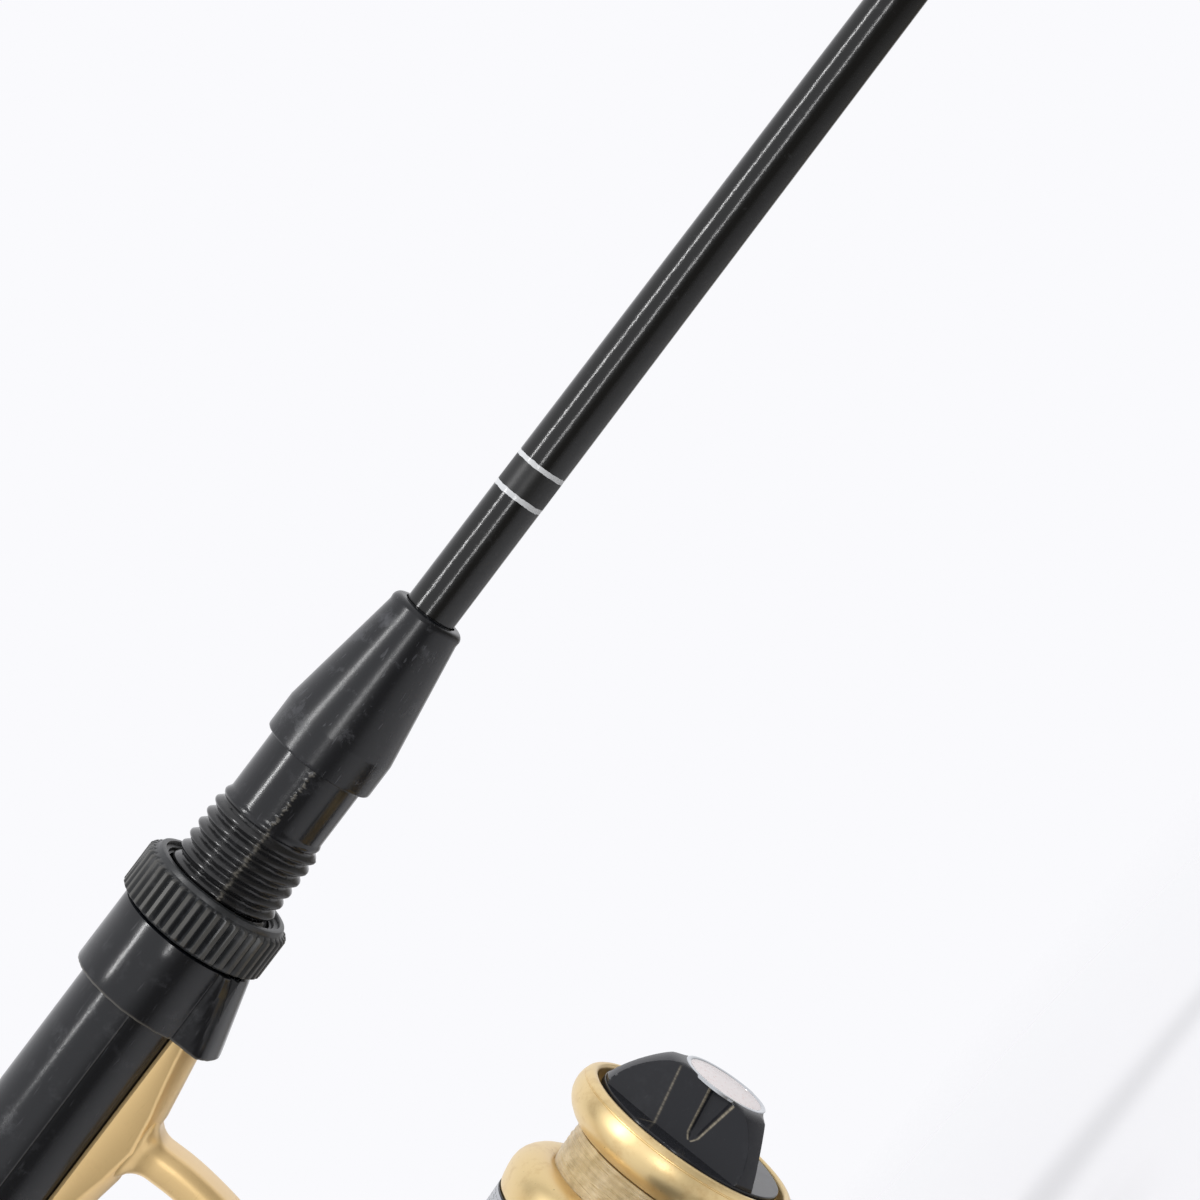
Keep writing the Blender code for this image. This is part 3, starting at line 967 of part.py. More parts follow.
# Drag knob: a round flange and a dome cut by three slanted, notched flats, hollow for its nut and spring
KNOB_HOLLOW = 5.0 * MM
knob_outline = [(DRAG_TOP, KNOB_HOLLOW), (DRAG_TOP, 7.4 * MM), (KNOB_BASE, 7.8 * MM),
                (KNOB_BASE, KNOB_RADIUS - 0.3 * MM), (KNOB_BASE + 0.3 * MM, KNOB_RADIUS),
                (KNOB_FLANGE - 0.3 * MM, KNOB_RADIUS), (KNOB_FLANGE, KNOB_RADIUS - 0.2 * MM),
                (KNOB_FLANGE + 0.25 * KNOB_HEIGHT, KNOB_RADIUS - 0.7 * MM),
                (KNOB_FLANGE + 0.55 * KNOB_HEIGHT, KNOB_RADIUS - 2.5 * MM),
                (KNOB_FLANGE + 0.8 * KNOB_HEIGHT, KNOB_TOP_RADIUS + 3.8 * MM),
                (KNOB_TOP - 0.6 * MM, KNOB_TOP_RADIUS + 2.4 * MM), (KNOB_TOP, KNOB_TOP_RADIUS),
                (KNOB_TOP, KNOB_TOP_RADIUS - 0.8 * MM), (KNOB_TOP - 0.6 * MM, KNOB_TOP_RADIUS - 0.8 * MM),
                (KNOB_TOP - 0.6 * MM, SHAFT_RADIUS + FIT), (KNOB_TOP - 2.4 * MM, SHAFT_RADIUS + FIT),
                (KNOB_TOP - 2.4 * MM, KNOB_HOLLOW)]
knob = turned("drag_knob", knob_outline, black_plastic, None, "X", 24)
FLAT_TOP = KNOB_TOP_RADIUS - 0.85 * MM
floor = KNOB_FLANGE + 0.05 * MM
over = KNOB_TOP + MM
far = 30 * MM
low = KNOB_FLANGE + 1.1 * MM
deep = KNOB_FLANGE + 2.6 * MM
mouth = 11 * MM
for number in range(KNOB_FLATS):
    turn = math.tau * number / KNOB_FLATS
    for bend, grow in ((0.0, 0.0), (FLAT_BEND, 0.3 * MM)):
        base = FLAT_BASE + grow
        top = FLAT_TOP + grow
        wedge = [[(floor, -base, z), (floor, -far, z), (over, -far, z), (over, -top, z)] for z in (-far, far)]
        cutter = loft("tool", wedge, None)
        cutter.data.transform(Matrix.Rotation(turn + bend, 4, "X"))
        combine(knob, cutter, "DIFFERENCE")
    notch = [[(low, -mouth, -0.4 * MM), (low, -mouth, 0.4 * MM),
              (over, -mouth, 2.6 * MM), (over, -mouth, -2.6 * MM)],
             [(deep, -FLAT_BASE + 1.4 * MM, -0.3 * MM), (deep, -FLAT_BASE + 1.4 * MM, 0.3 * MM),
              (over, -FLAT_TOP + 0.1 * MM, 1.9 * MM), (over, -FLAT_TOP + 0.1 * MM, -1.9 * MM)]]
    cutter = loft("tool", notch, None)
    cutter.data.transform(Matrix.Translation((0, 0, -2.2 * MM)))
    cutter.data.transform(Matrix.Rotation(turn, 4, "X"))
    combine(knob, cutter, "DIFFERENCE")
knob.parent = knob_axis
label_radius = KNOB_TOP_RADIUS - 1.1 * MM
label_outline = [(KNOB_TOP - 0.3 * MM, 0), (KNOB_TOP - 0.3 * MM, label_radius),
                 (KNOB_TOP - 0.05 * MM, label_radius), (KNOB_TOP - 0.05 * MM, 0)]
turned("knob_label", label_outline, label_stock, knob_axis)
DRAG_NUT_FRONT = KNOB_TOP - 2.4 * MM - FIT
DRAG_NUT_REAR = DRAG_NUT_FRONT - 2.2 * MM
drag_hex = [(4.6 * MM * math.cos(math.pi / 3 * i), 4.6 * MM * math.sin(math.pi / 3 * i)) for i in range(6)]
drag_nut = extruded("drag_nut", drag_hex, DRAG_NUT_REAR, DRAG_NUT_FRONT, brass, None, "X")
combine(drag_nut, peg("X", DRAG_NUT_REAR - MM, DRAG_NUT_FRONT + MM, SHAFT_RADIUS + RUNNING_FIT), "DIFFERENCE")
drag_nut.parent = knob_axis
spring = []
SPRING_REAR = DRAG_TOP + 0.6 * MM
SPRING_FRONT = DRAG_NUT_REAR - FIT - 0.5 * MM
for i in range(41):
    turn = math.tau * i / 10
    x = SPRING_REAR + (SPRING_FRONT - SPRING_REAR) * i / 40
    spring.append((x, 3.6 * MM * math.cos(turn), 3.6 * MM * math.sin(turn)))
tube("drag_spring", spring, 0.35 * MM, steel, knob_axis, 0)
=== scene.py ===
"""Looks for a spinning reel clamped in the seat of a rod's handle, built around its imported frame."""

import math

import bmesh
import bpy
import numpy as np
from mathutils import Matrix, Vector


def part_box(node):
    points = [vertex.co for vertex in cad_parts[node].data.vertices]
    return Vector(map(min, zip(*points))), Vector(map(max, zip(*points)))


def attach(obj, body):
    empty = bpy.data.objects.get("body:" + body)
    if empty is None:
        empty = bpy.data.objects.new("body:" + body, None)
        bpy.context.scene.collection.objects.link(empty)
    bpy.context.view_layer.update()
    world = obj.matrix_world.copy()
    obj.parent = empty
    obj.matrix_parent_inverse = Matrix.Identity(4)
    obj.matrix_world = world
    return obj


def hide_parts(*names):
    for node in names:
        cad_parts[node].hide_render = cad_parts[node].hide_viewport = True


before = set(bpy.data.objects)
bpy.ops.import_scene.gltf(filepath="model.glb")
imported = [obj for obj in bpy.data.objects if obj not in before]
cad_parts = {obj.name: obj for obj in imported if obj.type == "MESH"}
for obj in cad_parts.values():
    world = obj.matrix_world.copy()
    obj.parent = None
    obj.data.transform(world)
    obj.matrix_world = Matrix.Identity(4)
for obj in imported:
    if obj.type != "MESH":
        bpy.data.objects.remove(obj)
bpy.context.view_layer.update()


# Rod blank: a tapered tube of glass cloth wound on a mandrel and varnished black, glued into the handle.
# Two white rings are painted round it, with a duller stretch of varnish between them.
# Lengths are in millimetres until a mesh is made.
MM = 0.001
TAU = 2.0 * math.pi
SAME_SPOT = 0.0001
CONE_FRONT = 90.4
BLANK_REAR = -120.7
BLANK_FRONT = 215.4
BLANK_AT_CONE = 4.1
BLANK_TAPER = 0.0035
BLANK_WALL = 1.1
REAR_RING = (112.05, 0.42)
FRONT_RING = (117.5, 0.38)
DULL_STRETCH = (114.8, 2.6)


def linear(text):
    """An sRGB hex colour as linear red, green and blue, with alpha one."""
    parts = [int(text[i:i + 2], 16) / 255.0 for i in (1, 3, 5)]
    return tuple(p / 12.92 if p <= 0.04045 else ((p + 0.055) / 1.055) ** 2.4 for p in parts) + (1.0,)


def add(tree, kind, inputs=None, output=0, **settings):
    """Adds a shader node with its settings, and with its inputs as values or as links from sockets, and
    gives one of its outputs."""
    made = tree.nodes.new("ShaderNode" + kind)
    for key, value in settings.items():
        setattr(made, key, value)
    for key, value in (inputs or {}).items():
        if isinstance(value, bpy.types.NodeSocket):
            tree.links.new(value, made.inputs[key])
        else:
            made.inputs[key].default_value = value
    return made.outputs[output]


def surface(name, points, material, part, wrap_u=False, sharp=35.0, marks=None):
    """A mesh from a grid of points, in millimetres: quads join each point to its next along both ways.
    Each row is a closed loop, and with wrap_u the last row is joined to the first. Points in one spot are
    merged, so a row of them closes an end, and the faces are turned outwards. A part is a body, a slot and
    the nodes replaced; the slot is not used."""
    points = np.asarray(points, float)
    nu, nv = points.shape[:2]
    index = np.arange(nu * nv).reshape(nu, nv)
    u0 = index if wrap_u else index[:-1]
    u1 = np.roll(index, -1, 0) if wrap_u else index[1:]
    quads = np.stack([u0, np.roll(u0, -1, 1), np.roll(u1, -1, 1), u1], -1).reshape(-1, 4)
    mesh = bpy.data.meshes.new(name)
    mesh.vertices.add(nu * nv)
    mesh.vertices.foreach_set("co", (points.reshape(-1) * MM).astype(np.float32))
    mesh.loops.add(quads.size)
    mesh.loops.foreach_set("vertex_index", quads.reshape(-1).astype(np.int32))
    mesh.polygons.add(len(quads))
    mesh.polygons.foreach_set("loop_start", (np.arange(len(quads)) * 4).astype(np.int32))
    mesh.update(calc_edges=True)
    if marks is not None:
        layer = mesh.attributes.new("marks", "FLOAT", "POINT")
        layer.data.foreach_set("value", np.asarray(marks, np.float32).reshape(-1))
    shell = bmesh.new()
    shell.from_mesh(mesh)
    bmesh.ops.remove_doubles(shell, verts=shell.verts, dist=SAME_SPOT * MM)
    if shell.calc_volume(signed=True) < 0.0:
        bmesh.ops.reverse_faces(shell, faces=shell.faces)
    shell.to_mesh(mesh)
    shell.free()
    mesh.validate()
    mesh.shade_smooth()
    mesh.set_sharp_from_angle(angle=math.radians(sharp))
    mesh.materials.append(material)
    made = bpy.data.objects.new(name, mesh)
    bpy.context.scene.collection.objects.link(made)
    body, slot, *nodes = part
    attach(made, body)
    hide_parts(*nodes)


def lathe(outline, axis="X", centre=(0.0, 0.0, 0.0), columns=96):
    """A grid of points for a turned piece: each point of the outline, a place along the axis and a radius,
    goes once round the axis."""
    line = np.asarray(outline, float)
    turn = np.arange(columns) * TAU / columns
    s = line[:, 1:2] * np.sin(turn)
    c = -line[:, 1:2] * np.cos(turn)
    a = np.repeat(line[:, :1], columns, 1)
    return np.stack([a, s, c] if axis == "X" else [-s, a, c], -1) + np.asarray(centre)


def arc(centre, radius, start, end, steps=6):
    """Points of a round edge in an outline: a centre, a radius and two angles in degrees."""
    turn = np.radians(np.linspace(start, end, steps))
    return [(centre[0] + radius * math.cos(t), centre[1] + radius * math.sin(t)) for t in turn]


def start_material(name):
    """A new material with its node tree, shader and object coordinates."""
    made = bpy.data.materials.new(name)
    made.use_nodes = True
    tree = made.node_tree
    place = add(tree, "TexCoord", output="Object")
    return made, tree, tree.nodes["Principled BSDF"], place


def mottle(tree, place, across_mm, detail=4.0, roughness=0.6, stretch=(1.0, 1.0, 1.0)):
    """Random patches whose largest are some millimetres across, stretched along the axes if asked."""
    spread = add(tree, "Mapping", {"Vector": place, "Scale": stretch})
    inputs = {"Vector": spread, "Scale": 1000.0 / across_mm, "Detail": detail, "Roughness": roughness}
    return add(tree, "TexNoise", inputs)


def roughen(tree, shader, height, depth_mm):
    """Links a bump of so many millimetres to a shader."""
    bump = add(tree, "Bump", {"Height": height, "Strength": 1.0, "Distance": depth_mm * MM})
    tree.links.new(bump, shader.inputs["Normal"])


def worn(name, colour, wear_colour, roughness, wear=0.5, metallic=0.0, specular=0.5, mark_mm=6.0,
         grain_mm=0.25, grain=0.01, dust_and_highlight="#77736a", coat=0.0):
    """A surface with patchy wear: noise some millimetres across picks out paler, rougher marks, long thin
    noise makes scratches, fine noise roughens the skin, and the mesh's own marks take a second colour,
    which is dust on most pieces and a painted highlight along the knob's edges."""
    made, tree, shader, place = start_material(name)
    patches = mottle(tree, place, mark_mm, 8.0, 0.7)
    patches = add(tree, "MapRange", {"Value": patches, "From Min": 0.55, "From Max": 0.75})
    scratches = mottle(tree, place, 0.5, 2.0, 0.5, (0.12, 1.0, 1.0))
    scratches = add(tree, "MapRange", {"Value": scratches, "From Min": 0.66, "From Max": 0.72})
    marked = add(tree, "Math", {0: scratches, 1: 0.5, 2: patches}, operation="MULTIPLY_ADD")
    worn_here = add(tree, "Math", {0: marked, 1: wear}, operation="MULTIPLY")
    tones = {"Factor": worn_here, "A": linear(colour), "B": linear(wear_colour)}
    tone = add(tree, "Mix", tones, "Result", data_type="RGBA")
    # The mesh's marks mix in a second colour: real dust on most pieces, a painted highlight on the knob's
    # edges
    dust_and_highlight_share = add(tree, "Attribute", output="Fac", attribute_name="marks")
    tone = add(tree, "Mix", {"Factor": dust_and_highlight_share, "A": tone, "B": linear(dust_and_highlight)}, "Result", data_type="RGBA")
    tree.links.new(tone, shader.inputs["Base Color"])
    rough = add(tree, "Math", {0: worn_here, 1: 0.3, 2: roughness}, operation="MULTIPLY_ADD")
    rough = add(tree, "Math", {0: dust_and_highlight_share, 1: 0.4, 2: rough}, operation="MULTIPLY_ADD")
    tree.links.new(rough, shader.inputs["Roughness"])
    roughen(tree, shader, mottle(tree, place, grain_mm, 3.0), grain)
    shader.inputs["Metallic"].default_value = metallic
    shader.inputs["Specular IOR Level"].default_value = specular
    shader.inputs["Coat Weight"].default_value = coat
    shader.inputs["Coat Roughness"].default_value = 0.2
    return made


def blank_radius(x):
    """The blank's radius along the rod: it shrinks evenly toward the tip."""
    return BLANK_AT_CONE + BLANK_TAPER * (CONE_FRONT - x)


def within(tree, place, stretch):
    """One where a place is inside a stretch, given by its middle and half its length in millimetres."""
    middle, half = stretch
    return add(tree, "Math", {0: place, 1: middle * MM, 2: half * MM}, operation="COMPARE")


# Varnished fibreglass: a clear, narrow highlight that ripples over the cloth, with a few grey scuffs
blank_paint, tree, shader, place = start_material("varnished black fibreglass with white rings")
along = add(tree, "SeparateXYZ", {"Vector": place})
uneven = mottle(tree, place, 1.1, 2.0)
along = add(tree, "Math", {0: uneven, 1: 0.3 * MM, 2: along}, operation="MULTIPLY_ADD")
rear_ring = within(tree, along, REAR_RING)
rings = add(tree, "Math", {0: rear_ring, 1: within(tree, along, FRONT_RING)}, operation="MAXIMUM")
scuffs = mottle(tree, place, 2.4, 9.0, 0.75)
scuffs = add(tree, "MapRange", {"Value": scuffs, "From Min": 0.6, "From Max": 0.72, "To Max": 0.4})
varnish = {"Factor": scuffs, "A": linear("#0a0b0c"), "B": linear("#3a3b3e")}
tone = add(tree, "Mix", varnish, "Result", data_type="RGBA")
tone = add(tree, "Mix", {"Factor": rings, "A": tone, "B": linear("#c8cacc")}, "Result", data_type="RGBA")
tree.links.new(tone, shader.inputs["Base Color"])
rough = add(tree, "Math", {0: within(tree, along, DULL_STRETCH), 1: 0.24, 2: 0.16}, operation="MULTIPLY_ADD")
rough = add(tree, "Math", {0: scuffs, 1: 0.3, 2: rough}, operation="MULTIPLY_ADD")
tree.links.new(rough, shader.inputs["Roughness"])
roughen(tree, shader, mottle(tree, place, 2.6, 5.0, 0.7), 0.045)
rear_radius = blank_radius(BLANK_REAR)
tip_radius = blank_radius(BLANK_FRONT)
blank_line = [(BLANK_REAR, rear_radius - BLANK_WALL), (BLANK_REAR, rear_radius), (CONE_FRONT, BLANK_AT_CONE),
              (BLANK_FRONT - 0.2, tip_radius), (BLANK_FRONT, tip_radius - 0.2),
              (BLANK_FRONT, tip_radius - BLANK_WALL)]
blank_part = ("handle", "fibreglass", "rod_blank")
surface("blank_skin", lathe(blank_line, columns=128), blank_paint, blank_part, True)


# Fore cone: a moulded black cap with a short straight skirt, a taper and a softly rounded tip.
# It slides down the blank and is glued over the front end of the seat.
# Moulded ABS: a fairly sharp highlight on deep black, with fine scratches along the rod
black = worn("moulded black ABS", "#0c0e13", "#47484c", 0.18, wear=0.4, mark_mm=5.0, grain_mm=0.9,
             grain=0.008)
CONE_REAR = 62.9
CONE_RADIUS = 9.1
SKIRT_END = CONE_REAR + 5.6
cone_line = [(CONE_REAR, 8.3), (CONE_REAR, 8.8)] + arc((CONE_REAR + 0.3, 8.8), 0.3, 180, 90, 4)
cone_line += [(CONE_REAR + 0.6, CONE_RADIUS), (SKIRT_END - 0.3, CONE_RADIUS), (SKIRT_END - 0.08, CONE_RADIUS),
              (SKIRT_END + 0.08, CONE_RADIUS - 0.02), (SKIRT_END + 0.3, CONE_RADIUS - 0.05),
              (CONE_FRONT - 1.8, 5.98)]
cone_line += arc((CONE_FRONT - 1.2, 4.85), 1.2, 82, 0, 8) + [(CONE_FRONT, 4.35)]
# The same ABS where hands rub it: a duller highlight and more pale marks
scuffed = worn("scuffed black ABS", "#0e1015", "#55565b", 0.24, wear=0.7, mark_mm=7.0, grain_mm=0.9,
               grain=0.01)
surface("cone_skin", lathe(cone_line, columns=128), scuffed, ("handle", "black_plastic", "fore_cone"), True)


# Reel seat: a tube with a flat bed below, then a thread and a plain neck, all one ABS moulding on the blank.
# A ragged parting line runs along its side with brown dust in it, and the thread fades out in its last turn.
SEAT_RADIUS = 9.1
BED_FLAT = 7.45
THREAD_ROOT = 7.95
THREAD_HEIGHT = 0.85
THREAD_START = 27.0
THREAD_END = 52.4
PITCH = 2.1
SEAT_BORE = 4.9
SEAT_REAR = -34.4
SEAT_STEP = 25.4
SEAT_FRONT = 65.6
FLASH_ANGLE = math.radians(-86.5)


def ragged(x, seed):
    """A smooth random-looking wave of x, from sines whose lengths share no common factor."""
    return (np.sin(x * 1.7 + seed) + np.sin(x * 4.3 + 2.1 * seed) + np.sin(x * 9.1 + 0.7 * seed)) / 3.0


def flash_share(x, turn, radius):
    """How much of the parting line is at a place: a ragged strip along the seat that comes and goes."""
    across = (np.mod(turn - FLASH_ANGLE + math.pi, TAU) - math.pi) * radius
    clumpy = np.clip((x - 20.0) / 6.0, 0.0, 1.0)
    swing = across - 0.3 * clumpy * ragged(x * 1.3, 2.0)
    width = 0.1 + clumpy * (0.12 + 0.3 * np.maximum(0.0, ragged(x * 1.4, 5.0)))
    strength = 0.3 + clumpy * np.clip(0.25 + 1.3 * ragged(x * 1.6, 1.0), -0.2, 0.7)
    return strength * np.exp(-(swing / width) ** 2)


def seat_radius(x, turn):
    """The seat's radius: a thread is a rounded ridge at each pitch along the helix, a flat cuts the bed,
    and the parting line stands a little proud."""
    phase = (x / PITCH - turn / TAU + 0.5) % 1.0 - 0.5
    ridge = np.clip(1.0 - np.abs(phase) / 0.42, 0.0, 1.0)
    ridge = THREAD_HEIGHT * np.minimum(1.0, 1.18 * ridge ** 0.85)
    fade = np.clip((THREAD_END - x + 0.5 * turn / TAU) / 2.4, 0.0, 1.0)
    threaded = THREAD_ROOT + ridge * fade * (x > THREAD_START)
    radius = SEAT_RADIUS + (threaded - SEAT_RADIUS) * np.clip((x - SEAT_STEP) / 0.8, 0.0, 1.0)
    down = np.cos(turn)
    bed = BED_FLAT / np.maximum(down, 0.3)
    on_bed = (x > SEAT_REAR + 2.0) & (x < SEAT_STEP + 0.4) & (down > 0.5)
    radius = np.where(on_bed, np.minimum(radius, bed), radius)
    bumps = 0.12 + 0.1 * ragged(x * 2.3, 4.0)
    return radius + np.maximum(bumps, 0.0) * flash_share(x, turn, radius)


bed_rows = np.linspace(SEAT_REAR, SEAT_STEP - 0.1, 160)
step_rows = np.linspace(SEAT_STEP, THREAD_START, 8)
thread_rows = np.arange(THREAD_START + 0.1, THREAD_END + 1.2, 0.15)
neck_rows = np.linspace(THREAD_END + 1.4, SEAT_FRONT, 60)
rows = np.concatenate([[SEAT_REAR], bed_rows, step_rows, thread_rows, neck_rows, [SEAT_FRONT]])
turns = np.concatenate([np.arange(150) * TAU / 150, FLASH_ANGLE + TAU + np.linspace(-0.09, 0.09, 31)])
turns = np.unique(np.round(np.mod(turns, TAU), 5))
xs, ts = np.meshgrid(rows, turns, indexing="ij")
rs = seat_radius(xs, ts)
rs[[0, -1]] = SEAT_BORE
seat_points = np.stack([xs, rs * np.sin(ts), -rs * np.cos(ts)], -1)
threads = np.clip((xs - THREAD_START) / 2.0, 0.0, 1.0) * np.clip((THREAD_END + 0.6 - xs) / 2.0, 0.0, 1.0)
seat_marks = np.clip(0.8 * flash_share(xs, ts, rs) - 0.1 + 0.14 * threads, 0.0, 0.6)
seat_part = ("handle", "black_plastic", "reel_seat")
surface("seat_skin", seat_points, black, seat_part, True, sharp=50.0, marks=seat_marks)


# Lock nut: moulded nylon with rounded ridges all round, a plain shoulder in front and a stepped recess
# round the thread. It screws along the seat and pushes the hood. Its ridges are rubbed a little paler.
NUT_REAR = 30.7
NUT_FRONT = 39.3
RIDGES = 45
RIDGE_DEPTH = 0.72
nut_turns = np.arange(RIDGES * 12) * TAU / (RIDGES * 12)
ridge_wave = np.clip(1.25 * (0.5 + 0.5 * np.cos(nut_turns * RIDGES)) ** 0.7, 0.0, 1.0)
nut_rows = np.array([(NUT_REAR, 9.0, 0), (NUT_REAR, 10.9, 0), (NUT_REAR + 0.15, 11.3, 0),
                     (NUT_REAR + 0.3, 11.45, 0), (NUT_REAR + 0.5, 11.6, 0.7), (NUT_REAR + 0.75, 11.68, 1.0),
                     (NUT_FRONT - 1.5, 11.68, 1.0), (NUT_FRONT - 1.15, 11.6, 0.75),
                     (NUT_FRONT - 0.95, 11.5, 0), (NUT_FRONT - 0.85, 11.35, 0),
                     (NUT_FRONT - 0.35, 11.25, 0), (NUT_FRONT - 0.1, 11.1, 0),
                     (NUT_FRONT, 10.8, 0), (NUT_FRONT, 10.35, 0), (NUT_FRONT - 0.12, 10.25, 0),
                     (NUT_FRONT - 0.55, 10.2, 0), (NUT_FRONT - 0.6, 10.1, 0), (NUT_FRONT - 0.6, 9.6, 0),
                     (NUT_FRONT - 0.75, 9.5, 0), (NUT_FRONT - 1.1, 9.45, 0), (NUT_FRONT - 1.15, 9.1, 0)])
rs = nut_rows[:, 1:2] + RIDGE_DEPTH * nut_rows[:, 2:3] * ridge_wave
xs = np.repeat(nut_rows[:, :1], len(nut_turns), 1)
nut_points = np.stack([xs, rs * np.sin(nut_turns), -rs * np.cos(nut_turns)], -1)
nut_marks = 0.2 * nut_rows[:, 2:3] * np.clip((ridge_wave - 0.8) / 0.2, 0.0, 1.0)
# Moulded nylon: a wide, soft highlight on dark grey
dull = worn("moulded black nylon", "#232527", "#55565a", 0.34, wear=0.5, mark_mm=4.0, grain_mm=0.5,
            grain=0.015)
surface("nut_skin", nut_points, dull, ("nut", "black_plastic", "lock_nut"), True, sharp=40.0, marks=nut_marks)


# Hoods: moulded ABS rings round the seat, each with a straight-sided beak that holds an end of the foot.
# One slides, pushed by the nut, and one is fixed. The sliding one's rear edge is a little uneven and pale.
BED = 7.75
FOOT_ROOT = 6.4
FOOT_THINNING = 3.3
FOOT_GAP = 0.4
HOOD_BORE = 9.4
HOOD_RADIUS = 11.05
POCKET_HALF = 6.4
BEAK_HALF = 8.2
BEAK_WALL = 2.4
HOOD_REAR = 17.9
HOOD_FRONT = 30.4


def foot_thickness(x):
    """The foot's thickness: it thins evenly from the stem to its tips."""
    return FOOT_ROOT - FOOT_THINNING * np.maximum((np.abs(x) - 6.0) / 20.0, 0.0)


def beak(turn, bottom, flank, half_width, least):
    """The radius of a hood: the larger of a round ring and of a beak with straight sides and a bowed
    underside."""
    s = np.abs(np.sin(turn))
    c = np.cos(turn)
    side = half_width / np.maximum(s, 1e-6)
    bow = np.maximum((bottom - flank) * s * s / half_width ** 2, 1e-4)
    low = (np.sqrt(c * c + 4.0 * bow * bottom) - c) / (2.0 * bow)
    shape = np.minimum(side, np.where(c > 0.02, low, least))
    return np.where(c > 0.02, np.maximum(least, shape), least)


def hood(name, open_end, closed_end, part, uneven):
    """A hood's skin: rows run along the outside from the open rim to the closed end, and back along the bore
    and the pocket for the foot, as one closed loop."""
    turn = np.concatenate([np.linspace(-0.95, 0.95, 181), np.linspace(0.95, TAU - 0.95, 120)[1:-1]])
    way = 1.0 if closed_end > open_end else -1.0
    open_depth = BED + foot_thickness(open_end) + FOOT_GAP
    closed_depth = BED + foot_thickness(closed_end) + FOOT_GAP
    trim = uneven * (0.5 * ragged(turn * 5.0, 3.0) + 0.3 * ragged(turn * 14.0, 1.0))
    points = []
    marks = []
    outside = ((0.0, -0.16), (0.012, -0.05), (0.035, 0.0), (0.25, 0.0), (0.5, 0.0), (0.75, 0.0), (0.955, 0.0),
               (0.985, -0.12), (1.0, -0.4))
    for share, grow in outside + ((1.0, None), (0.5, None), (0.02, None), (0.0, None)):
        x = open_end + (closed_end - open_end) * share + trim * max(0.0, 1.0 - share * 8.0) * way
        if grow is None:
            deep = open_depth + (closed_depth - open_depth) * share
            radius = beak(turn, deep, deep - 0.05, POCKET_HALF, HOOD_BORE)
        else:
            deep = open_depth + BEAK_WALL + (closed_depth + 1.0 - open_depth - BEAK_WALL) * share
            flank = open_depth - 0.3 + (closed_depth - 2.1 - open_depth) * share
            radius = beak(turn, deep, flank, BEAK_HALF, HOOD_RADIUS - 0.05 * share) + grow
        points.append(np.stack([x, radius * np.sin(turn), -radius * np.cos(turn)], -1))
        marks.append(np.full_like(turn, 0.35 if share < 0.02 and uneven else 0.0))
    surface(name, points, black, part, True, sharp=28.0, marks=marks)


hood("hood_skin", HOOD_REAR, HOOD_FRONT, ("hood", "black_plastic", "sliding_hood"), 0.12)
hood("rear_hood_skin", SEAT_REAR + 12.5, SEAT_REAR, ("handle", "black_plastic", "rear_hood"), 0.0)


# Reel body: an aluminium casting in gold paint. Its foot has straight sides and two faces that slope to a low
# ridge, and its stem has round fillets at the root, bends back and swells into the round gear case.
# The reel is drawn with its axis along X, and all of it but the foot and stem is then tilted a little.
AXIS = -77.3
GEAR_X = -14.0
TILT = math.radians(3.1)
TILT_SPOT = np.array([51.9, 0.0, AXIS])
FOOT_HALF = 6.0
STEM_TOP = 10.0
STEM_HALF = 2.85
STEM_HALF_WIDTH = 4.7
STEM_BEND = 20.0
STEM_SWELL = 5.6
STEM_WIDENING = 1.8
FILLET = 3.6
FILLET_END = 17.2
# Metallic gold paint: a soft, broad sheen with a thin clear coat over it and a few darker rub marks
gold = worn("gold paint on cast aluminium", "#f6d498", "#b08a4c", 0.33, wear=0.2, metallic=0.7, mark_mm=7.0,
            grain_mm=0.35, grain=0.008, coat=0.25)


def tilted(points):
    """Points turned by the tilt about the centre of the spool's lip, so that the spool points a little up."""
    c = math.cos(TILT)
    s = math.sin(TILT)
    return (np.asarray(points, float) - TILT_SPOT) @ np.array([[c, 0, s], [0, 1, 0], [-s, 0, c]]) + TILT_SPOT


def rounded(half_u, half_v, radius, steps=8):
    """A rectangle with round corners as points (u, v), the same number for every size."""
    points = []
    for cu, cv, start in ((1, 1, 0), (-1, 1, 1), (-1, -1, 2), (1, -1, 3)):
        for i in range(steps + 1):
            t = math.pi / 2 * (start + i / steps)
            points.append((cu * (half_u - radius) + radius * math.cos(t),
                           cv * (half_v - radius) + radius * math.sin(t)))
    return points


def foot_line(x):
    """The foot's section at x, as points (y, z), with its edges rounded by short chamfers."""
    deep = float(foot_thickness(x))
    side = deep * (0.42 + 0.4 * max(0.0, 1.0 - abs(x) / HOOD_REAR))
    end = max(0.0, (abs(x) - 20.8) / 5.2)
    wide = FOOT_HALF * (1.0 - 0.2 * min(end, 1.0) ** 2)
    right = [(0.0, 0.27), (wide - 0.4, 0.27), (wide, -0.2), (wide, -side + 0.5), (wide - 0.12, -side + 0.12),
             (wide - 0.45, -side - 0.25), (wide * 0.55, -deep * 0.9), (wide * 0.3, -deep * 0.985),
             (0.0, -deep)]
    left = [(-y, z) for y, z in right[-2:0:-1]]
    return [(y, z - BED) for y, z in right + left]


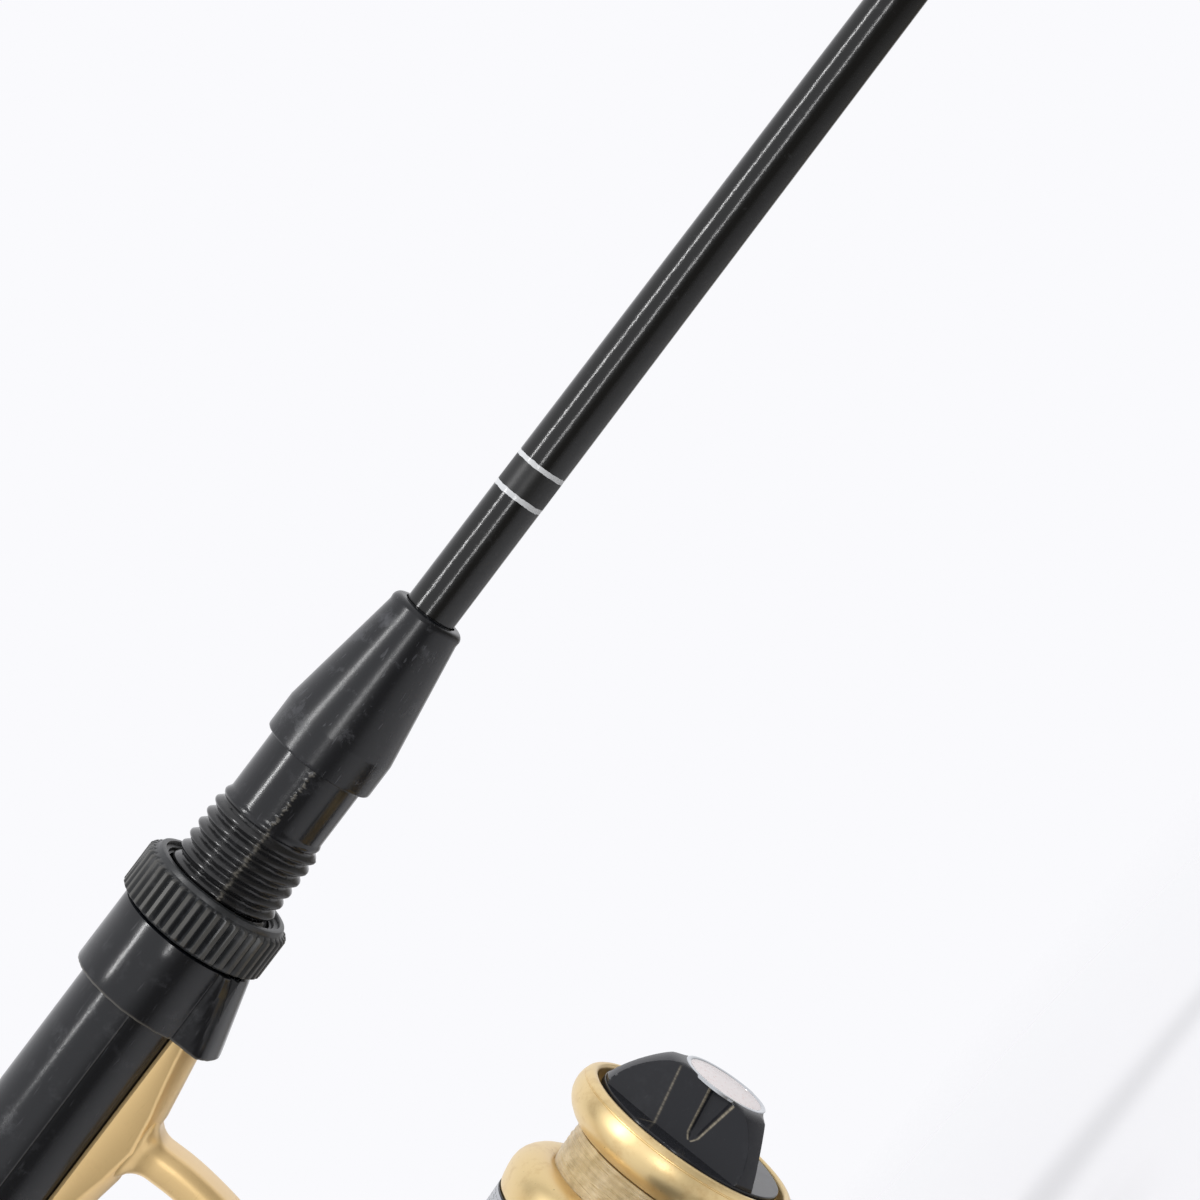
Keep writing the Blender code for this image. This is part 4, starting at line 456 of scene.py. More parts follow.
spots = np.concatenate([np.linspace(-29.7, -20.0, 10), np.linspace(-18.0, 18.0, 37),
                        np.linspace(19.0, 25.7, 8)])
foot_rows = [[(x, y, z) for y, z in foot_line(x)] for x in spots]
first_row = [(spots[0] - 0.3, y * 0.9, BED * -0.12 + z * 0.88) for _, y, z in foot_rows[0]]
last_row = [(spots[-1] + 0.3, y * 0.9, BED * -0.12 + z * 0.88) for _, y, z in foot_rows[-1]]
first_end = [(spots[0] - 0.3, 0.0, -BED - 1.0)] * len(first_row)
last_end = [(spots[-1] + 0.3, 0.0, -BED - 1.0)] * len(first_row)
body_part = ("handle", "gold_paint", "reel_body")
surface("foot_skin", [first_end, first_row] + foot_rows + [last_row, last_end], gold, body_part, sharp=30.0)
case_x, _, case_z = tilted((GEAR_X, 0.0, AXIS))
stem_end = -case_z - 17.2
stem_rows = []
for share in np.linspace(0.0, 1.0, 90):
    z = STEM_TOP + (stem_end + 1.1 - STEM_TOP) * share
    rise = min(max(0.0, FILLET_END - z), FILLET)
    fillet = FILLET - math.sqrt(FILLET ** 2 - rise ** 2)
    swell = max(0.0, share - 0.55) / 0.45
    back = max(0.0, (z - STEM_BEND) / (stem_end - STEM_BEND)) ** 1.6
    half = STEM_HALF + fillet + STEM_SWELL * swell ** 2
    wide = STEM_HALF_WIDTH + 0.25 * fillet + STEM_WIDENING * swell ** 2
    outline = rounded(half, wide, 0.82 * min(half, wide))
    stem_rows.append([(back * (case_x + 1.5) + u, v, -z) for u, v in outline])
stem_first = [tuple(np.mean(stem_rows[0], axis=0))] * len(stem_rows[0])
stem_last = [tuple(np.mean(stem_rows[-1], axis=0))] * len(stem_rows[-1])
surface("stem_skin", [stem_first] + stem_rows + [stem_last], gold, body_part, sharp=60.0)
gear_spot = (GEAR_X, 0.0, AXIS)
reel_spot = (0.0, 0.0, AXIS)
CASE_RIGHT = -7.2
CASE_RADIUS = 18.4
CASE_INNER = 16.6
BOSS_LEFT = 16.8
BOSS_BORE = 5.3
COVER_RIGHT = -9.95
NOSE_BORE = 6.3
case_line = [(CASE_RIGHT, CASE_INNER), (CASE_RIGHT, CASE_RADIUS - 0.3), (CASE_RIGHT + 0.3, CASE_RADIUS)]
case_line += arc((7.0, CASE_RADIUS - 3.5), 3.5, 90, 0, 9) + [(10.55, 9.0)]
case_line += arc((12.0, 8.9), 1.4, 180, 265, 5)
case_line += [(BOSS_LEFT - 0.4, 7.25), (BOSS_LEFT, 6.9), (BOSS_LEFT, BOSS_BORE), (8.7, BOSS_BORE),
              (8.7, CASE_INNER)]
surface("case_skin", tilted(lathe(case_line, "Y", gear_spot, 128)), gold, body_part, True)
nose_line = [(-5.0, NOSE_BORE), (-5.0, 8.8), (0.6, 11.4), (1.6, 12.1), (7.3, 12.2), (7.6, 11.9),
             (7.6, NOSE_BORE)]
surface("nose_skin", tilted(lathe(nose_line, "X", reel_spot, 96)), gold, body_part, True)
cover_line = [(CASE_RIGHT - 0.3, 0.0), (CASE_RIGHT - 0.3, CASE_RADIUS), (CASE_RIGHT - 0.8, CASE_RADIUS)]
cover_line += arc((CASE_RIGHT - 0.8, CASE_RADIUS - 1.7), 1.7, 90, 180, 8)
cover_line += [(COVER_RIGHT + 0.25, 9.0), (COVER_RIGHT, 8.7), (COVER_RIGHT, 0.0)]
cover_points = tilted(lathe(cover_line, "Y", gear_spot, 128))
surface("cover_skin", cover_points, gold, ("handle", "gold_paint", "side_cover"))


# Spool: turned aluminium, gold anodised. Its lip has a rounded front rim, a fine groove and a crowned band,
# and a rounded shoulder stands behind the line. It is held on the shaft by the drag washers and knob.
def upright(tree, place):
    """Object coordinates turned back by the tilt, so that X runs along the reel's axis."""
    c = math.cos(TILT)
    s = math.sin(TILT)
    x, _, z = TILT_SPOT
    shift = ((x - (x * c + z * s)) * MM, 0.0, (z - (z * c - x * s)) * MM)
    inputs = {"Vector": place, "Rotation": (0.0, TILT, 0.0), "Location": shift}
    return add(tree, "Mapping", inputs)


# Anodised aluminium: a brushed gold sheen drawn out along the axis, with brown specks and rub marks.
# The turning lines are about a tenth of a millimetre apart, coarser than real ones, so that they show.
gold_turned, tree, shader, place = start_material("gold anodised turned aluminium")
along = add(tree, "SeparateXYZ", {"Vector": upright(tree, place)})
turning = mottle(tree, add(tree, "CombineXYZ", {"X": along, "Y": 0.0, "Z": 0.0}), 0.11, 3.0)
rub_marks_and_edge_highlight = mottle(tree, place, 4.2, 9.0, 0.72)
rub_marks_and_edge_highlight = add(tree, "MapRange", {"Value": rub_marks_and_edge_highlight, "From Min": 0.52, "From Max": 0.72, "To Max": 0.45})
specks = mottle(tree, place, 0.8, 4.0, 0.6)
specks = add(tree, "MapRange", {"Value": specks, "From Min": 0.68, "From Max": 0.74, "To Max": 0.6})
golds = {"Factor": rub_marks_and_edge_highlight, "A": linear("#ead09a"), "B": linear("#c39a5e")}
tone = add(tree, "Mix", golds, "Result", data_type="RGBA")
tone = add(tree, "Mix", {"Factor": specks, "A": tone, "B": linear("#6d4f2c")}, "Result", data_type="RGBA")
tree.links.new(tone, shader.inputs["Base Color"])
rough = add(tree, "Math", {0: turning, 1: 0.14, 2: 0.3}, operation="MULTIPLY_ADD")
tree.links.new(rough, shader.inputs["Roughness"])
roughen(tree, shader, turning, 0.004)
shader.inputs["Metallic"].default_value = 0.78
shader.inputs["Coat Weight"].default_value = 0.15
shader.inputs["Coat Roughness"].default_value = 0.2
skirt_line = [(19.0, 17.5), (19.0, 18.8), (19.5, 19.4), (21.0, 19.4), (21.0, 18.8), (29.8, 18.8)]
shoulder_line = [(29.8, 19.25), (30.1, 19.4), (31.0, 19.58), (32.2, 19.74), (33.3, 19.78), (34.3, 19.64),
                 (35.2, 19.28), (36.0, 18.72), (36.7, 17.98), (37.2, 17.1), (37.45, 16.3), (37.5, 15.5),
                 (37.25, 14.5), (36.8, 13.8)]
arbor_line = [(36.8, 10.8), (43.8, 10.8), (44.1, 14.3)]
lip_line = [(44.5, 15.5), (45.2, 16.6), (46.0, 17.5), (46.8, 18.1), (47.6, 18.48), (48.5, 18.68),
            (49.4, 18.7), (50.2, 18.56), (50.7, 18.36), (50.78, 18.2), (50.9, 18.18), (51.0, 18.26),
            (51.25, 18.12), (51.55, 17.86), (51.78, 17.52), (51.86, 17.15), (51.8, 16.85), (51.6, 16.65),
            (51.2, 16.55)]
inside_line = [(48.9, 16.2), (48.9, 9.3), (40.6, 9.3), (40.6, 1.8), (37.1, 1.8), (37.1, 9.4), (34.6, 10.4),
               (34.2, 16.3), (32.8, 17.5)]
spool_line = skirt_line + shoulder_line + arbor_line + lip_line + inside_line
spool_points = tilted(lathe(spool_line, "X", reel_spot, 192))
surface("spool_skin", spool_points, gold_turned, ("spool", "gold_metal", "spool"), True)


# Skirt band: a strip of silver foil glued into a shallow groove round the spool's skirt.
# It has rows of small dark marks in no particular shape and a dark stripe along its front edge.
BAND_RADIUS = 19.3
MARK_STRETCH = (25.2, 3.5)
EDGE_STRIPE = (29.35, 0.2)
# Metal foil: mirror grey, a little blurred, under flat black ink
foil, tree, shader, place = start_material("silver foil with dark marks")
along = add(tree, "SeparateXYZ", {"Vector": upright(tree, place)})
across, up = along.node.outputs["Y"], along.node.outputs["Z"]
up = add(tree, "Math", {0: up, 1: AXIS * MM}, operation="SUBTRACT")
angle = add(tree, "Math", {0: across, 1: up}, operation="ARCTAN2")
around = add(tree, "Math", {0: angle, 1: BAND_RADIUS}, operation="MULTIPLY")
length = add(tree, "Math", {0: along, 1: 1000.0}, operation="MULTIPLY")
flat = add(tree, "CombineXYZ", {"X": around, "Y": length, "Z": 0.0})
cells = add(tree, "TexVoronoi", {"Vector": flat, "Scale": 1.9, "Randomness": 0.35}, distance="MANHATTAN")
dark = add(tree, "Math", {0: cells, 1: 0.42}, operation="LESS_THAN")
inked = add(tree, "Math", {0: dark, 1: within(tree, along, MARK_STRETCH)}, operation="MULTIPLY")
inked = add(tree, "Math", {0: inked, 1: within(tree, along, EDGE_STRIPE)}, operation="MAXIMUM")
inks = {"Factor": inked, "A": linear("#b9bbbf"), "B": linear("#17181a")}
tree.links.new(add(tree, "Mix", inks, "Result", data_type="RGBA"), shader.inputs["Base Color"])
shader.inputs["Metallic"].default_value = 0.8
shader.inputs["Roughness"].default_value = 0.32
band_line = [(21.3, 19.0), (21.3, 19.33), (29.5, 19.33), (29.5, 19.0)]
band_points = tilted(lathe(band_line, "X", reel_spot, 192))
surface("band_skin", band_points, foil, ("spool", "foil", "skirt_band"), True)


# Line: nylon monofilament wound on the spool in close turns, with a few strands that cross the others
# and groups of turns that lie a little higher than their neighbours.
# Nylon monofilament: translucent tan strands, each with its own fine highlight
nylon, tree, shader, place = start_material("tan nylon monofilament")
along = add(tree, "SeparateXYZ", {"Vector": upright(tree, place)})
strands = mottle(tree, add(tree, "CombineXYZ", {"X": along, "Y": 0.0, "Z": 0.0}), 0.6, 4.0, 0.7)
tint = add(tree, "Math", {0: strands, 1: 0.6, 2: mottle(tree, place, 3.0, 3.0)}, operation="MULTIPLY_ADD")
tint = add(tree, "MapRange", {"Value": tint, "From Min": 0.55, "From Max": 1.05})
tans = {"Factor": tint, "A": linear("#a08a60"), "B": linear("#d8c49c")}
tree.links.new(add(tree, "Mix", tans, "Result", data_type="RGBA"), shader.inputs["Base Color"])
shader.inputs["Roughness"].default_value = 0.3
shader.inputs["Subsurface Weight"].default_value = 0.12
shader.inputs["Subsurface Radius"].default_value = (0.0008, 0.0006, 0.0003)
STRAND = 0.23
LINE_REAR = 36.9
LINE_FRONT = 43.98
LINE_BORE = 10.85
LAY_RADIUS = 14.52
LAST_TURN = 0.965
CROSSINGS = 11


def line_radius(x, turn):
    """The winding's radius: round strands side by side along a fine helix, then strands that run across them,
    each a round ridge about a line that drifts along the spool as it goes round."""
    group = np.tanh(3.0 * np.sin(x * TAU / 0.9 + 1.3 * np.sin(x * 0.8) + 0.4 * np.sin(turn * 2.0)))
    lay = LAY_RADIUS + 0.05 * group + 0.05 * ragged(x * 0.55, 2.0) + 0.03 * np.sin(turn * 2.0 + x)
    phase = (x / STRAND - turn / TAU + 0.08 * np.sin(turn * 3.0 + x * 0.7)) % 1.0 * 2.0 - 1.0
    radius = lay + 0.11 * np.sqrt(np.maximum(0.0, 1.0 - phase * phase))
    for k in range(CROSSINGS):
        begin = (k * 2.399) % TAU
        slope = (0.8 + 0.25 * ((k * 5) % 4)) * (1.0 if k % 2 else -1.0)
        drift = np.mod(turn - begin + math.pi, TAU) - math.pi
        away = (x - LINE_REAR - 0.5 - (k * 3.37) % 5.8 - slope * drift) / (STRAND * 0.55)
        crossing = lay + 0.05 + 0.14 * np.sqrt(np.maximum(0.0, 1.0 - away * away)) - 0.015 * drift ** 2
        radius = np.maximum(radius, crossing)
    return radius


line_x = np.concatenate([[LINE_REAR], np.linspace(LINE_REAR, LINE_FRONT, 260), [LINE_FRONT - 0.23]])
xs, ts = np.meshgrid(line_x, np.arange(220) * TAU / 220, indexing="ij")
rs = line_radius(xs, ts)
rs[-2] *= LAST_TURN
rs[[0, -1]] = LINE_BORE
line_points = tilted(np.stack([xs, rs * np.sin(ts), AXIS - rs * np.cos(ts)], -1))
line_part = ("spool", "line", "line_winding", "line_core")
surface("line_wound", line_points, nylon, line_part, True, sharp=80.0)


# Drag knob: a gloss ABS moulding that screws on the shaft and presses the drag washers. A dome on a round
# flange is cut by three flats, each of two planes that meet in a crease, with a V-shaped finger notch in the
# wider one. A bright rim holds a plain pale disc in the top.
KNOB_FLANGE = 51.9
KNOB_TOP = 60.85
FLATS = 3
DOME_START = 51.0
DOME_HEIGHT = 9.3
DOME_END = 60.25
NOTCH_START = 53.0
NOTCH_DEPTH = 1.1
FLANGE_RADIUS = 15.5
NECK_START = 44.4
HOLLOW_END = 58.2
HOLLOW_RADIUS = 5.0
SHAFT_BORE = 1.8
WIDE_FACE = (math.radians(-110.5), 10.18, 6.48)
NARROW_FACE = (math.radians(-116.8), 10.44, 7.06)
# Gloss ABS: an even, deep black with faint reflections, and a pale cream painted highlight along the edges of
# the flats and notches
knob_black = worn("gloss black ABS", "#232428", "#45464a", 0.2, wear=0.2, specular=0.25, mark_mm=8.0,
                  grain_mm=0.8, grain=0.004, dust_and_highlight="#b3a994")


def knob_shape(x, turn):
    """The knob's radius above its flange, and its painted edge highlights along the creases and notches: the
    least of a dome and of planes whose distance from the axis shrinks toward the top, less the depth of a
    notch that widens toward the top."""
    up = np.clip((x - DOME_START) / DOME_HEIGHT, 0.0, 1.0)
    above = x - NOTCH_START
    radius = np.minimum(9.2 + 6.5 * np.maximum(0.0, 1.0 - up ** 1.6) ** 0.88, 15.4)
    edge_highlight = np.zeros_like(radius)
    for k in range(FLATS):
        cuts = []
        for face, base, top in (WIDE_FACE, NARROW_FACE):
            facing = np.cos(turn - face - TAU * k / FLATS)
            cuts.append(np.where(facing > 0.2, (base + (top - base) * up) / np.maximum(facing, 0.2), 99.0))
        cut = np.minimum(cuts[0], cuts[1])
        on_flat = cut < radius
        # A painted highlight in pale cream along the crease where the two planes of a flat meet
        crease_highlight = np.exp(-((cuts[0] - cuts[1]) / 0.02) ** 2) * (0.6 + 0.4 * ragged(x * 2.0, 1.0))
        radius = np.minimum(radius, cut)
        way = turn - WIDE_FACE[0] - TAU * k / FLATS
        across = np.where(np.cos(way) > 0.3, radius * np.sin(way), 99.0)
        rounding = np.sqrt(np.clip(above + 0.15, 0.0, 1.0))
        half = (0.83 + 0.205 * above) * rounding
        inside = half - np.abs(across - 2.45 + 0.047 * (above - 0.1))
        depth = NOTCH_DEPTH * np.clip(inside / 0.55, 0.0, 1.0) * np.clip((above + 0.1) / 2.5, 0.0, 1.0)
        # A painted highlight in pale cream along the edges of the notch
        rub_marks_and_edge_highlight = np.exp(-((inside - 0.07) / 0.12) ** 2) * (above > -0.05)
        notch_highlight = rub_marks_and_edge_highlight * (0.7 + 0.3 * ragged(x * 2.0, 4.0))
        edge_highlight = np.maximum(edge_highlight, np.maximum(0.45 * crease_highlight, 0.8 * notch_highlight) * on_flat)
        radius = np.where(on_flat, radius - depth, radius)
    return radius, edge_highlight


columns = 720
knob_turns = np.arange(columns) * TAU / columns
outer = np.array([(HOLLOW_END + 1.7, 0.0), (HOLLOW_END + 1.7, SHAFT_BORE), (HOLLOW_END, SHAFT_BORE),
                  (HOLLOW_END, HOLLOW_RADIUS), (NECK_START, HOLLOW_RADIUS), (NECK_START, 7.4),
                  (KNOB_FLANGE - 1.4, 7.8), (KNOB_FLANGE - 1.4, FLANGE_RADIUS - 0.3),
                  (KNOB_FLANGE - 1.3, FLANGE_RADIUS - 0.1), (KNOB_FLANGE - 1.1, FLANGE_RADIUS),
                  (KNOB_FLANGE - 0.3, FLANGE_RADIUS), (KNOB_FLANGE - 0.12, FLANGE_RADIUS - 0.04),
                  (KNOB_FLANGE - 0.03, FLANGE_RADIUS - 0.1), (KNOB_FLANGE, FLANGE_RADIUS - 0.2)])
dome_x = KNOB_FLANGE + 0.05 + (DOME_END - KNOB_FLANGE) * np.linspace(0.0, 1.0, 90) ** 0.9
xs, ts = np.meshgrid(dome_x, knob_turns, indexing="ij")
rs, knob_highlights = knob_shape(xs, ts)
closing = np.array([(KNOB_TOP - 0.35, 0.8), (KNOB_TOP - 0.17, 0.55), (KNOB_TOP - 0.05, 0.3), (KNOB_TOP, 0.0),
                    (KNOB_TOP - 0.4, 0.0), (KNOB_TOP - 0.4, 0.0)])
inner = np.minimum(rs[-1], 6.9)
closing_r = inner + closing[:, 1:] * (rs[-1] - inner)
closing_r[-1] = 0.0
xs = np.concatenate([np.repeat(outer[:, :1], columns, 1), xs, np.repeat(closing[:, :1], columns, 1)])
rs = np.concatenate([np.repeat(outer[:, 1:], columns, 1), rs, closing_r])
knob_highlights = np.concatenate([np.zeros((len(outer), columns)), knob_highlights, np.zeros((len(closing), columns))])
knob_points = tilted(np.stack([xs, rs * np.sin(knob_turns), AXIS - rs * np.cos(knob_turns)], -1))
knob_part = ("knob", "black_plastic", "drag_knob")
surface("knob_skin", knob_points, knob_black, knob_part, sharp=9.0, marks=knob_highlights)
# Chrome plate: a clear mirror with a slight haze
chrome = worn("chrome plate", "#c9ccd0", "#8f9296", 0.14, wear=0.15, metallic=1.0, mark_mm=4.0, grain_mm=0.5,
              grain=0.002)
rim_line = [(KNOB_TOP - 0.35, 6.1), (KNOB_TOP - 0.35, 6.95), (KNOB_TOP, 7.02), (KNOB_TOP + 0.1, 6.9),
            (KNOB_TOP + 0.1, 6.4), (KNOB_TOP - 0.02, 6.22)]
rim_points = tilted(lathe(rim_line, "X", reel_spot, 128))
surface("knob_rim", rim_points, chrome, ("knob", "chrome", "knob_label"), True)
# Printed vinyl: a pale satin face with faint red flecks
label, tree, shader, place = start_material("pale printed vinyl")
cells = add(tree, "TexVoronoi", {"Vector": place, "Scale": 1100.0})
plain = add(tree, "MapRange", {"Value": cells, "From Min": 0.14, "From Max": 0.26, "To Max": 0.35})
ink = add(tree, "Math", {0: 0.35, 1: plain}, operation="SUBTRACT")
inks = {"Factor": ink, "A": linear("#f6eeed"), "B": linear("#d08a82")}
tree.links.new(add(tree, "Mix", inks, "Result", data_type="RGBA"), shader.inputs["Base Color"])
shader.inputs["Roughness"].default_value = 0.35
disc_line = [(KNOB_TOP - 0.35, 0.0), (KNOB_TOP - 0.35, 6.24), (KNOB_TOP - 0.05, 6.24), (KNOB_TOP, 6.1),
             (KNOB_TOP, 0.0)]
disc_points = tilted(lathe(disc_line, "X", reel_spot, 96))
surface("label_disc", disc_points, label, ("knob", "label", "knob_label"))


# Rear grip and butt cap: a sleeve of black foam that is pushed over the blank behind the seat,
# with a slight swell for the hand, and a moulded ABS cap glued on its end.
# Closed-cell foam: matt, nearly black, with a fine open grain
foam = worn("black EVA foam", "#161617", "#2c2c2d", 0.85, wear=0.6, specular=0.2, mark_mm=3.0, grain_mm=0.6,
            grain=0.12)
GRIP_REAR = -126.7
GRIP_FRONT = -34.7
GRIP_BORE = 5.2
BUTT_FRONT = -127.0
BUTT_REAR = -138.0
grip_line = [(GRIP_REAR, GRIP_BORE), (GRIP_REAR, 11.2), (GRIP_REAR + 0.4, 11.6)]
for share in np.linspace(0.0, 1.0, 30):
    swell = 0.55 * math.sin(math.pi * (0.1 + 0.8 * share))
    grip_line.append((GRIP_REAR + 1.0 + 90.0 * share, 11.5 + swell - share ** 3))
grip_line += [(GRIP_FRONT - 0.2, 10.6), (GRIP_FRONT, 10.2), (GRIP_FRONT, GRIP_BORE)]
surface("grip_skin", lathe(grip_line), foam, ("handle", "foam", "rear_grip"), True)
butt_line = [(BUTT_FRONT, 0.0), (BUTT_FRONT, 11.9), (BUTT_REAR + 2.5, 12.8)]
butt_line += arc((BUTT_REAR + 2.0, 10.9), 2.0, 75, 180, 8) + [(BUTT_REAR, 0.0)]
surface("butt_skin", lathe(butt_line), black, ("handle", "black_plastic", "butt_cap"))


# Crank handle: a chromed arm on the drive shaft, behind a moulded ABS collar, with a moulded ABS paddle knob
# that turns on a spindle at its end. The arm and the spindle keep their solids.
CRANK_LENGTH = 42.0
PADDLE_COLUMNS = 72
PADDLE_BORE = 1.9
collar_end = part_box("handle_collar")[1].y / MM
collar_line = [(17.1, 3.3), (17.1, 6.0), (17.3, 6.2), (19.9, 6.2), (20.4, 6.0), (22.0, 5.05),
               (collar_end - 0.4, 5.0), (collar_end, 4.8), (collar_end, 3.3)]
collar_points = tilted(lathe(collar_line, "Y", gear_spot, 64))
surface("collar_skin", collar_points, black, ("crank", "black_plastic", "handle_collar"), True)
knob_low, knob_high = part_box("handle_knob")
start = knob_low.y / MM
long = (knob_high.y - knob_low.y) / MM
paddle_turns = np.arange(PADDLE_COLUMNS) * TAU / PADDLE_COLUMNS
paddle_wide = np.hypot(9.0 * np.sin(paddle_turns), 5.6 * np.cos(paddle_turns))
paddle_rows = [(np.full(PADDLE_COLUMNS, PADDLE_BORE), start)]
for share in np.linspace(0.0, 1.0, 40):
    ease = np.clip((share - 0.15) / 0.55, 0.0, 1.0)
    ease = ease * ease * (3.0 - 2.0 * ease)
    end = math.sqrt(max(0.0, 1.0 - max(0.0, (share - 0.78) / 0.22) ** 2.4 * 0.62))
    paddle_rows.append(((3.8 + (paddle_wide - 3.8) * ease) * end, start + long * share))
for radius, depth in ((3.05, 0.0), (3.0, 2.4), (PADDLE_BORE, 2.4)):
    paddle_rows.append((np.full(PADDLE_COLUMNS, radius), start + long - depth))
paddle_points = []
for radius, y in paddle_rows:
    x = GEAR_X - radius * np.sin(paddle_turns)
    z = AXIS - CRANK_LENGTH - radius * np.cos(paddle_turns)
    paddle_points.append(np.stack([x, np.full(PADDLE_COLUMNS, y), z], -1))
paddle_part = ("crank_knob", "black_plastic", "handle_knob")
surface("paddle_skin", tilted(paddle_points), black, paddle_part, True, sharp=40.0)


# Bail: a bent, chromed steel wire in a half loop, held at both ends by the plates that pivot on the rotor.
# A grooved roller, turned and chromed, spins on a spindle at one end and guides the line.
BAIL_LEAN = math.radians(20.0)
BAIL_PIVOT = np.array([38.0, 0.0, AXIS])
WIRE_LOW = -19.9
WIRE_HIGH = 23.8
WIRE_START = 16.2
WIRE_BOW = 16.8
WIRE_SIDES = 20
ROLLER_REACH = 13.0
reach_way = np.array([math.sin(BAIL_LEAN), 0.0, -math.cos(BAIL_LEAN)])
turn = np.linspace(0.0, math.pi, 90)
loop = BAIL_PIVOT + reach_way * (WIRE_START + WIRE_BOW * np.sin(turn))[:, None]
loop[:, 1] = (WIRE_LOW + WIRE_HIGH) / 2 - (WIRE_HIGH - WIRE_LOW) / 2 * np.cos(turn)
loop = np.concatenate([loop[:1] - reach_way * 1.2, loop, loop[-1:] - reach_way * 1.2])
along_loop = np.gradient(loop, axis=0)
along_loop /= np.linalg.norm(along_loop, axis=1)[:, None]
square = np.cross(reach_way, [0.0, 1.0, 0.0])
out = np.cross(along_loop, square)
ring = np.arange(WIRE_SIDES)[:, None] * TAU / WIRE_SIDES
wire_points = loop[:, None] + np.cos(ring) * square + np.sin(ring) * out[:, None]
wire_start = loop[:1, None].repeat(WIRE_SIDES, 1)
wire_end = loop[-1:, None].repeat(WIRE_SIDES, 1)
wire_points = tilted(np.concatenate([wire_start, wire_points, wire_end]))
surface("wire_skin", wire_points, chrome, ("bail", "chrome", "bail_wire"))
roller_at = BAIL_PIVOT + reach_way * ROLLER_REACH
roller_line = [(-24.7, 1.4), (-24.7, 2.5), (-24.5, 2.6), (-23.8, 2.4), (-22.95, 2.1), (-22.1, 2.4),
               (-21.4, 2.6), (-21.2, 2.5), (-21.2, 1.4)]
roller_points = tilted(lathe(roller_line, "Y", (roller_at[0], 0.0, roller_at[2]), 64))
surface("roller_skin", roller_points, chrome, ("roller", "chrome", "line_roller"), True)


# Rotor, plates, gears, shafts, screws and drag washers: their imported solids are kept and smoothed.
# Each gets the look of its own material, and what isn't listed by name is steel.
# Turned steel: a grey sheen between chrome and zinc
steel = worn("turned steel", "#a9abae", "#6f7174", 0.28, wear=0.3, metallic=1.0, mark_mm=4.0, grain_mm=0.3,
             grain=0.004)
# Machined brass and cast zinc: a warm sheen beside a dull grey one; oiled fibre is dark and matt
brass = worn("machined brass", "#b98d3e", "#7c5b22", 0.3, wear=0.3, metallic=1.0, mark_mm=3.0, grain_mm=0.3,
             grain=0.004)
zinc = worn("cast zinc", "#8d8f92", "#606265", 0.45, wear=0.4, metallic=0.9, mark_mm=3.0, grain_mm=0.3,
            grain=0.02)
fibre = worn("oiled fibre", "#4a2a16", "#2c170b", 0.7, wear=0.4, mark_mm=2.0, grain_mm=0.3, grain=0.03)
looks = {"rotor": black, "anti_reverse_lever": black, "crank_arm": chrome, "bail_arm_roller": chrome,
         "bail_arm_plain": chrome, "drive_bush": brass, "pinion_gear": brass, "drag_nut": brass,
         "drive_gear": zinc, "shaft_guide": zinc, "drag_washer_fibre_rear": fibre,
         "drag_washer_fibre_front": fibre}
for name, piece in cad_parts.items():
    piece.data.materials.clear()
    piece.data.materials.append(looks.get(name, steel))
    piece.data.shade_smooth()
    piece.data.set_sharp_from_angle(angle=math.radians(30))


# Stage: a pale floor under the lowest piece, a white backdrop, two strip lights and the photograph's camera.
# The rod's angle in the picture, its lean toward the camera, its roll and its place come from the ellipses of
# the nut and of the spool's lip.
ROD_ANGLE = math.radians(52.56)
ROD_LEAN = math.radians(7.5)
ROD_ROLL = math.radians(2.0)
level = np.array([math.cos(ROD_ANGLE), math.sin(ROD_ANGLE), 0.0]) * math.cos(ROD_LEAN)
tip = level + np.array([0.0, 0.0, math.sin(ROD_LEAN)])
square = np.array([-math.sin(ROD_ANGLE), math.cos(ROD_ANGLE), 0.0])
above = square * math.cos(ROD_ROLL) + np.cross(tip, square) * math.sin(ROD_ROLL)
turned_to_camera = np.stack([tip, np.cross(above, tip), above])
nut_point = np.array([35.1, 0.0, 0.0])
nut_from_camera = np.array([-58.05, -45.35, -590.84])
camera_at = nut_point - turned_to_camera @ nut_from_camera
camera_data = bpy.data.cameras.new("camera")
camera_data.sensor_width = 36.0
camera_data.lens = 120.0
camera_data.clip_start = 0.01
camera = bpy.data.objects.new("camera", camera_data)
bpy.context.scene.collection.objects.link(camera)
camera.matrix_world = Matrix.Translation(Vector(camera_at * MM)) @ Matrix(turned_to_camera.tolist()).to_4x4()
bpy.context.scene.camera = camera

FLOOR_Z = -0.142
FLOOR_RADIUS = 0.45
FLOOR_SIDES = 64
FADE_START = 0.16
FADE_END = 0.28
floor_mesh = bpy.data.meshes.new("floor")
floor_turns = np.arange(FLOOR_SIDES) * TAU / FLOOR_SIDES
edge = [(FLOOR_RADIUS * math.cos(t), FLOOR_RADIUS * math.sin(t), FLOOR_Z) for t in floor_turns]
floor_mesh.from_pydata(edge, [], [list(range(FLOOR_SIDES))])
# Matt paper: an even white without a highlight
paper, tree, shader, place = start_material("matt white paper that fades out at its edge")
shader.inputs["Base Color"].default_value = linear("#e9e9eb")
shader.inputs["Roughness"].default_value = 0.9
from_middle = add(tree, "VectorMath", {0: place}, "Value", operation="LENGTH")
fade = add(tree, "MapRange", {"Value": from_middle, "From Min": FADE_START, "From Max": FADE_END})
ending = add(tree, "MixShader", {0: fade, 1: shader.outputs["BSDF"], 2: add(tree, "BsdfTransparent")})
tree.links.new(ending, tree.nodes["Material Output"].inputs["Surface"])
floor_mesh.materials.append(paper)
floor = bpy.data.objects.new("floor", floor_mesh)
bpy.context.scene.collection.objects.link(floor)


